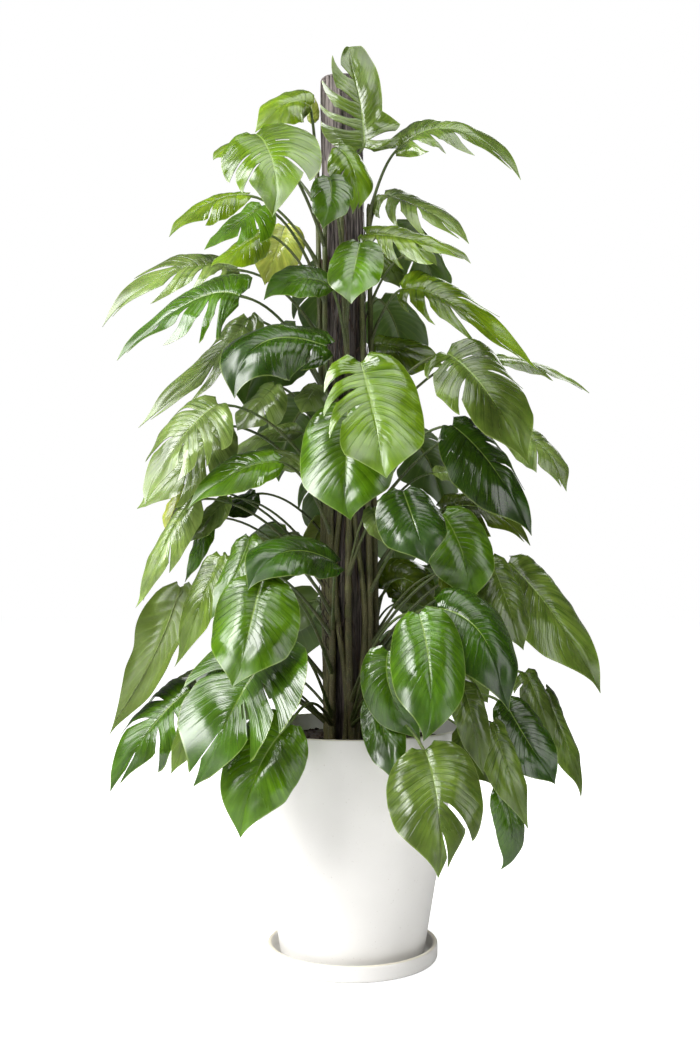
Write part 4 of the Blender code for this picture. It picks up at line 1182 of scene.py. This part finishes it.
class Shades:
    """Adds nodes to a node tree and wires them."""

    def __init__(self, tree):
        self.tree = tree

    def feed(self, node, inputs):
        """Gives a node its inputs: values, or the sockets that feed them."""
        for name, value in inputs.items():
            if isinstance(value, bpy.types.NodeSocket):
                self.tree.links.new(value, node.inputs[name])
            else:
                node.inputs[name].default_value = value

    def add(self, kind, inputs=None, **settings):
        """A node with its settings and inputs."""
        made = self.tree.nodes.new(kind)
        for name, value in settings.items():
            setattr(made, name, value)
        self.feed(made, inputs or {})
        return made

    def maths(self, operation, *values):
        """A step of arithmetic on values."""
        return self.add("ShaderNodeMath", dict(enumerate(values)), operation=operation).outputs[0]

    def times(self, a, b):
        """The product of two values."""
        return self.maths("MULTIPLY", a, b)

    def plus(self, a, b):
        """The sum of two values."""
        return self.maths("ADD", a, b)

    def value(self, share, low, high, to_low=0.0, to_high=1.0, smooth=False):
        """A value mapped from one range to another."""
        inputs = {"Value": share, "From Min": low, "From Max": high, "To Min": to_low, "To Max": to_high}
        kind = "SMOOTHSTEP" if smooth else "LINEAR"
        return self.add("ShaderNodeMapRange", inputs, interpolation_type=kind, clamp=True).outputs[0]

    def spread(self, noise_mask, low, high):
        """A value that follows a noise from low to high."""
        return self.value(noise_mask, *NOISE_SPAN, low, high)

    def mix(self, share, colour_a, colour_b, blend_type="MIX"):
        """A colour between two, by a mask."""
        inputs = {0: share, 6: colour_a, 7: colour_b}
        made = self.add("ShaderNodeMix", inputs, data_type="RGBA", blend_type=blend_type)
        return made.outputs[2]

    def dimmed(self, colour, light):
        """A colour made darker or lighter by a value."""
        grey = self.add("ShaderNodeCombineColor", {0: light, 1: light, 2: light}).outputs[0]
        return self.mix(1.0, colour, grey, "MULTIPLY")

    def layered(self, colour, *layers):
        """A colour with others over it: each by a mask, where that starts and is full, and its share."""
        for mask, start, full, share, over in layers:
            colour = self.mix(self.value(mask, start, full, 0.0, share), colour, shown(over))
        return colour

    def carried(self, name, output):
        """A value or colour that the mesh's corners carry."""
        return self.add("ShaderNodeAttribute", attribute_name=name).outputs[output]

    def place(self):
        """The place on the object itself."""
        return self.add("ShaderNodeTexCoord").outputs["Object"]

    def height_on(self):
        """How high on the object a point lies."""
        return self.add("ShaderNodeSeparateXYZ", {0: self.place()}).outputs[2]

    def noise(self, scale, detail=2.0, rough=0.5, stretch=None, vector=None):
        """A noise over the object's own space, from 0 to 1."""
        place = vector or self.place()
        if stretch:
            place = self.add("ShaderNodeMapping", {"Vector": place, "Scale": stretch}).outputs[0]
        inputs = {"Vector": place, "Scale": scale, "Detail": detail, "Roughness": rough}
        return self.add("ShaderNodeTexNoise", inputs).outputs[0]

    def masks(self, group, first, second):
        """The outputs of a node group, with its two sizes."""
        made = self.add("ShaderNodeGroup", {0: first, 1: second}, node_tree=group)
        return made.outputs

    def seen(self):
        """1 where the camera looks straight at something."""
        return self.add("ShaderNodeLightPath").outputs["Is Camera Ray"]

    def finish(self, colour, rough, height, strength, distance, more=None):
        """Feeds the shader its colour, its roughness, its bumps and what else it has."""
        bump = self.add("ShaderNodeBump", {"Height": height, "Strength": strength, "Distance": distance})
        inputs = {"Base Color": colour, "Roughness": rough, "Normal": bump.outputs[0]}
        self.feed(self.tree.nodes["Principled BSDF"], {**inputs, **(more or {})})


def new_group(name, inputs, outputs):
    """An empty node group with named values in and out."""
    group = bpy.data.node_groups.new(name, "ShaderNodeTree")
    for label, default in inputs.items():
        made = group.interface.new_socket(name=label, in_out="INPUT", socket_type="NodeSocketFloat")
        made.default_value = default
    for label in outputs:
        group.interface.new_socket(name=label, in_out="OUTPUT", socket_type="NodeSocketFloat")
    shades = Shades(group)
    return group, shades, shades.add("NodeGroupInput").outputs, shades.add("NodeGroupOutput")


def vein_group():
    """Masks of a leaf's midrib, side veins, fine veins, margin and streaks, and their height."""
    names = ("Midrib", "Side veins", "Fine veins", "Margin", "Height", "Streaks")
    group, s, given, out = new_group("leaf_veins", {"Vein width": 0.10, "Rib width": 0.035}, names)
    edge = s.maths("ABSOLUTE", s.carried("edge", "Fac"))
    dense = s.carried("tint", "Alpha")
    wobble = s.times(s.plus(s.noise(60, 2), -0.5), 0.10)
    vein = s.plus(s.carried("vein", "Fac"), wobble)
    aside = s.maths("DIVIDE", s.maths("PINGPONG", vein, 0.5), given["Vein width"])
    side = s.value(aside, 0.0, 1.0, 1.0, 0.0, smooth=True)
    side = s.times(side, s.value(edge, 0.75, 1.0, 1.0, 0.2))
    side = s.times(side, s.value(dense, 0.15, 0.6, 0.3, 1.0))
    fine = s.value(s.maths("PINGPONG", s.times(vein, 6.0), 0.5), 0.0, 0.5, 1.0, 0.0)
    fine = s.times(fine, s.value(dense, 0.3, 0.9))
    midrib = s.value(s.maths("DIVIDE", edge, given["Rib width"]), 0.4, 1.0, 1.0, 0.0, smooth=True)
    margin = s.value(edge, 0.97, 0.995, smooth=True)
    broad = s.times(streak_noise(s, vein, 1.4, 1.5), s.value(dense, 0.2, 0.9, 0.3, 0.5))
    thin = s.times(streak_noise(s, vein, 5.0, 1.1), s.value(dense, 0.3, 0.9, 0.0, 0.5))
    streaks = s.plus(s.plus(broad, thin), 0.5)
    height = s.plus(s.times(side, -0.6), s.times(fine, 0.22))
    height = s.plus(height, s.times(streaks, 1.7))
    height = s.times(height, s.value(dense, 0.2, 0.9, 0.05, 1.0))
    s.feed(out, dict(zip(names, (midrib, side, fine, margin, height, streaks))))
    return group


def streak_noise(s, vein, across, outwards):
    """A noise round 0, drawn out along the side veins, by how often it changes across and along them."""
    signed = s.times(s.carried("edge", "Fac"), outwards)
    along = s.add("ShaderNodeCombineXYZ", {0: s.times(vein, across), 1: signed}).outputs[0]
    return s.plus(s.noise(1.0, 2.2, 0.5, vector=along), -0.5)


def patch_group():
    """Soft patches and fine grain, which break up an even surface."""
    sizes = {"Patch scale": 20.0, "Grain scale": 400.0}
    group, s, given, out = new_group("uneven", sizes, ("Patches", "Grain"))
    s.feed(out, {"Patches": s.noise(given["Patch scale"], 3.0), "Grain": s.noise(given["Grain scale"], 2.0)})
    return group


def new_material(name, uneven, patch_scale, grain_scale):
    """A material, its nodes, and its masks of soft patches and of fine grain."""
    made = bpy.data.materials.new(name)
    made.use_nodes = True
    s = Shades(made.node_tree)
    masks = s.masks(uneven, patch_scale, grain_scale)
    return made, s, masks["Patches"], masks["Grain"]


def leaf_upper(veins, uneven):
    """The glossy upper side of a leaf."""
    made, s, patches, grain = new_material("leaf_upper", uneven, 16, 500)
    mask = s.masks(veins, 0.07, 0.03)
    colour = s.dimmed(s.carried("tint", "Color"), s.spread(patches, 0.46, 1.34))
    colour = s.layered(colour, (grain, 0.55, 0.75, 0.16, (112, 138, 34)))
    # Lighter and darker streaks along the side veins, partly painted highlight: the lighter ones stand in for
    # glossy streaks of light along the veins.
    streak = s.mix(s.value(mask["Streaks"], 0.33, 0.67), (0.46, 0.54, 0.34, 1.0), (1.65, 1.48, 1.25, 1.0))
    colour = s.mix(1.0, colour, streak, "MULTIPLY")
    # The side veins are darkened: painted shade in their grooves.
    colour = s.mix(s.times(mask["Side veins"], 0.75), colour, (0.4, 0.48, 0.35, 1.0), "MULTIPLY")
    colour = s.layered(
        colour,
        (mask["Fine veins"], 0.0, 1.0, 0.10, (120, 144, 60)),
        (mask["Midrib"], 0.0, 1.0, 0.70, (128, 152, 70)),
        (mask["Margin"], 0.0, 1.0, 0.40, (150, 168, 92)),
    )
    dull = s.value(s.carried("tint", "Alpha"), 0.2, 0.6, 0.18, 0.0)
    rough = s.plus(s.value(mask["Streaks"], 0.38, 0.62, 0.10, 0.20), dull)
    height = s.plus(mask["Height"], s.times(grain, 0.02))
    s.finish(colour, rough, height, 0.8, 0.0009, {"Specular IOR Level": 0.62, **LEAF_GLOW})
    return made


def leaf_lower(veins, uneven):
    """The paler, duller lower side of a leaf, where the veins stand out."""
    made, s, patches, grain = new_material("leaf_lower", uneven, 14, 450)
    mask = s.masks(veins, 0.16, 0.05)
    colour = s.mix(0.35, s.carried("tint", "Color"), shown((104, 126, 52)))
    colour = s.dimmed(colour, s.spread(patches, 0.8, 1.15))
    colour = s.layered(
        colour,
        (mask["Side veins"], 0.0, 1.0, 0.4, (112, 134, 56)),
        (mask["Midrib"], 0.0, 1.0, 0.8, (128, 146, 76)),
    )
    height = s.maths("SUBTRACT", s.times(grain, 0.3), mask["Height"])
    s.finish(colour, s.spread(patches, 0.34, 0.46), height, 0.4, 0.0006, LEAF_GLOW)
    return made


def stalk_skin(uneven):
    """Stems and stalks: smooth, finely streaked along, with small pale dots."""
    made, s, patches, grain = new_material("stalk_skin", uneven, 30, 700)
    streak = s.noise(420, 2, stretch=(1.0, 1.0, 0.12))
    colour = s.layered(
        s.carried("tint", "Color"),
        (streak, 0.35, 0.62, 0.6, (40, 44, 18)),
        (patches, 0.45, 0.75, 0.3, (122, 112, 74)),
        (grain, 0.62, 0.72, 0.5, (170, 168, 122)),
    )
    height = s.plus(streak, s.times(grain, 0.5))
    s.finish(colour, s.spread(patches, 0.38, 0.58), height, 0.35, 0.0006)
    return made


def fibre(name, low, high, uneven):
    """Brown fibre of roots and of the tree fern: streaked upright, matt, paler higher up."""
    made, s, patches, grain = new_material(name, uneven, 26, 900)
    streak = s.noise(520, 3, 0.6, stretch=(1.0, 1.0, 0.03))
    coarse = s.noise(330, 2, 0.5, stretch=(1.0, 1.0, 0.03))
    paler_up = s.times(s.value(streak, 0.42, 0.66, 0.0, 0.75), s.value(s.height_on(), 0.55, 1.2, 0.3, 1.0))
    colour = s.mix(0.5, s.carried("tint", "Color"), shown(low))
    colour = s.layered(
        colour,
        (paler_up, 0.0, 1.0, 1.0, high),
        (coarse, 0.52, 0.62, 0.85, (22, 17, 15)),
        (patches, 0.5, 0.8, 0.35, (86, 84, 60)),
    )
    height = s.plus(s.maths("SUBTRACT", streak, coarse), s.times(grain, 0.4))
    s.finish(colour, s.spread(grain, 0.75, 0.95), height, 0.8, 0.0015)
    return made


def glaze(name, uneven, edge_z):
    """Satin white glaze, a little warmer where it thins on the rim, with faint specks."""
    made, s, patches, grain = new_material(name, uneven, 7, 260)
    thin = s.value(s.height_on(), edge_z - 0.0022, edge_z - 0.0004, smooth=True)
    colour = s.layered(
        shown((231, 229, 225)),
        (patches, *NOISE_SPAN, 1.0, (225, 223, 219)),
        (thin, 0.0, 1.0, 0.75, (222, 214, 190)),
        (grain, 0.70, 0.76, 0.35, (176, 168, 156)),
    )
    coat = {"Coat Weight": 0.25, "Coat Roughness": 0.25}
    s.finish(colour, s.spread(patches, 0.30, 0.42), s.noise(35, 2), 0.12, 0.002, coat)
    return made


def crumbly(uneven):
    """Dark potting soil with paler bark."""
    made, s, patches, grain = new_material("crumbly_soil", uneven, 90, 900)
    colour = s.layered(
        shown((30, 22, 17)),
        (patches, 0.35, 0.65, 1.0, (66, 48, 35)),
        (grain, 0.6, 0.7, 0.5, (120, 94, 70)),
    )
    s.finish(colour, s.spread(grain, 0.85, 0.98), grain, 0.7, 0.002)
    return made


def studio_floor(uneven):
    """Plain pale floor."""
    made, s, patches, grain = new_material("studio_floor", uneven, 2, 60)
    colour = s.layered(shown((246, 246, 246)), (patches, *NOISE_SPAN, 1.0, (243, 243, 244)))
    glow = {"Emission Color": WHITE, "Emission Strength": s.times(s.seen(), FLOOR_GLOW)}
    s.finish(colour, s.spread(grain, 0.55, 0.65), grain, 0.02, 0.001, glow)
    return made


# Stage


def soft_room():
    """A white room: seen as plain white, and lit most from the upper left and from the wall behind."""
    world = bpy.data.worlds.new("soft_room")
    world.use_nodes = True
    s = Shades(world.node_tree)
    way = s.add("ShaderNodeTexCoord").outputs["Generated"]
    strength = ROOM_LOW
    for direction, start, gain in ROOM_LIGHTS:
        sides = {0: way, 1: Vector(direction).normalized()}
        facing = s.add("ShaderNodeVectorMath", sides, operation="DOT_PRODUCT").outputs["Value"]
        strength = s.plus(strength, s.value(facing, start, 1.0, 0.0, gain, smooth=True))
    strength = s.maths("MAXIMUM", strength, s.seen())
    s.feed(world.node_tree.nodes["Background"], {"Strength": strength, "Color": WHITE})
    return world


def stage(finish):
    """A plain pale floor, soft studio light and the camera."""
    shape = bmesh.new()
    bmesh.ops.create_grid(shape, x_segments=2, y_segments=2, size=FLOOR_SIZE)
    floor = put_in_scene("floor", mesh_of(shape, "floor", [finish]))
    for name, (place, size, power) in LAMPS.items():
        lamp(name, place, size, power)
    scene = bpy.context.scene
    scene.world = soft_room()
    scene.view_settings.view_transform = "Standard"
    lens = bpy.data.cameras.new("camera")
    lens.sensor_fit = "VERTICAL"
    lens.sensor_height = SENSOR_MM
    lens.lens = SENSOR_MM * FOCAL_PX / PHOTO_H_PX
    lens.shift_x = (PHOTO_W_PX / 2 - AXIS_PX) / PHOTO_H_PX
    lens.shift_y = (HORIZON_PX - PHOTO_H_PX / 2) / PHOTO_H_PX
    eye = put_in_scene("camera", lens)
    eye.location = (0.0, -EYE_DISTANCE, EYE_HEIGHT)
    eye.rotation_euler = (math.radians(90), 0.0, 0.0)
    scene.camera = eye


def lamp(name, place, size, power):
    """A soft square light that looks at the middle of the plant."""
    light = bpy.data.lights.new(name, "AREA")
    light.shape = "SQUARE"
    light.size = size
    light.energy = power
    made = put_in_scene(name, light)
    made.location = place
    made.rotation_euler = (PLANT_MIDDLE - Vector(place)).to_track_quat("-Z", "Y").to_euler()


def main():
    """Builds the plant in place of the plain model, and the stage round it."""
    draw = random.Random(SEED)
    veins, uneven = vein_group(), patch_group()
    roots = fibre("root_fibre", *ROOT_FIBRE, uneven)
    finishes = [leaf_upper(veins, uneven), leaf_lower(veins, uneven), stalk_skin(uneven), roots]
    for vine in VINES:
        leafy_vine(vine, finishes, draw)
    fern_pole(fibre("fern_fibre", *FERN_FIBRE, uneven), draw)
    fine_pot(glaze("pot_glaze", uneven, POT_RIM_Z))
    fine_saucer(glaze("saucer_glaze", uneven, SAUCER_H))
    lumpy_soil(crumbly(uneven), draw)
    stage(studio_floor(uneven))


main()
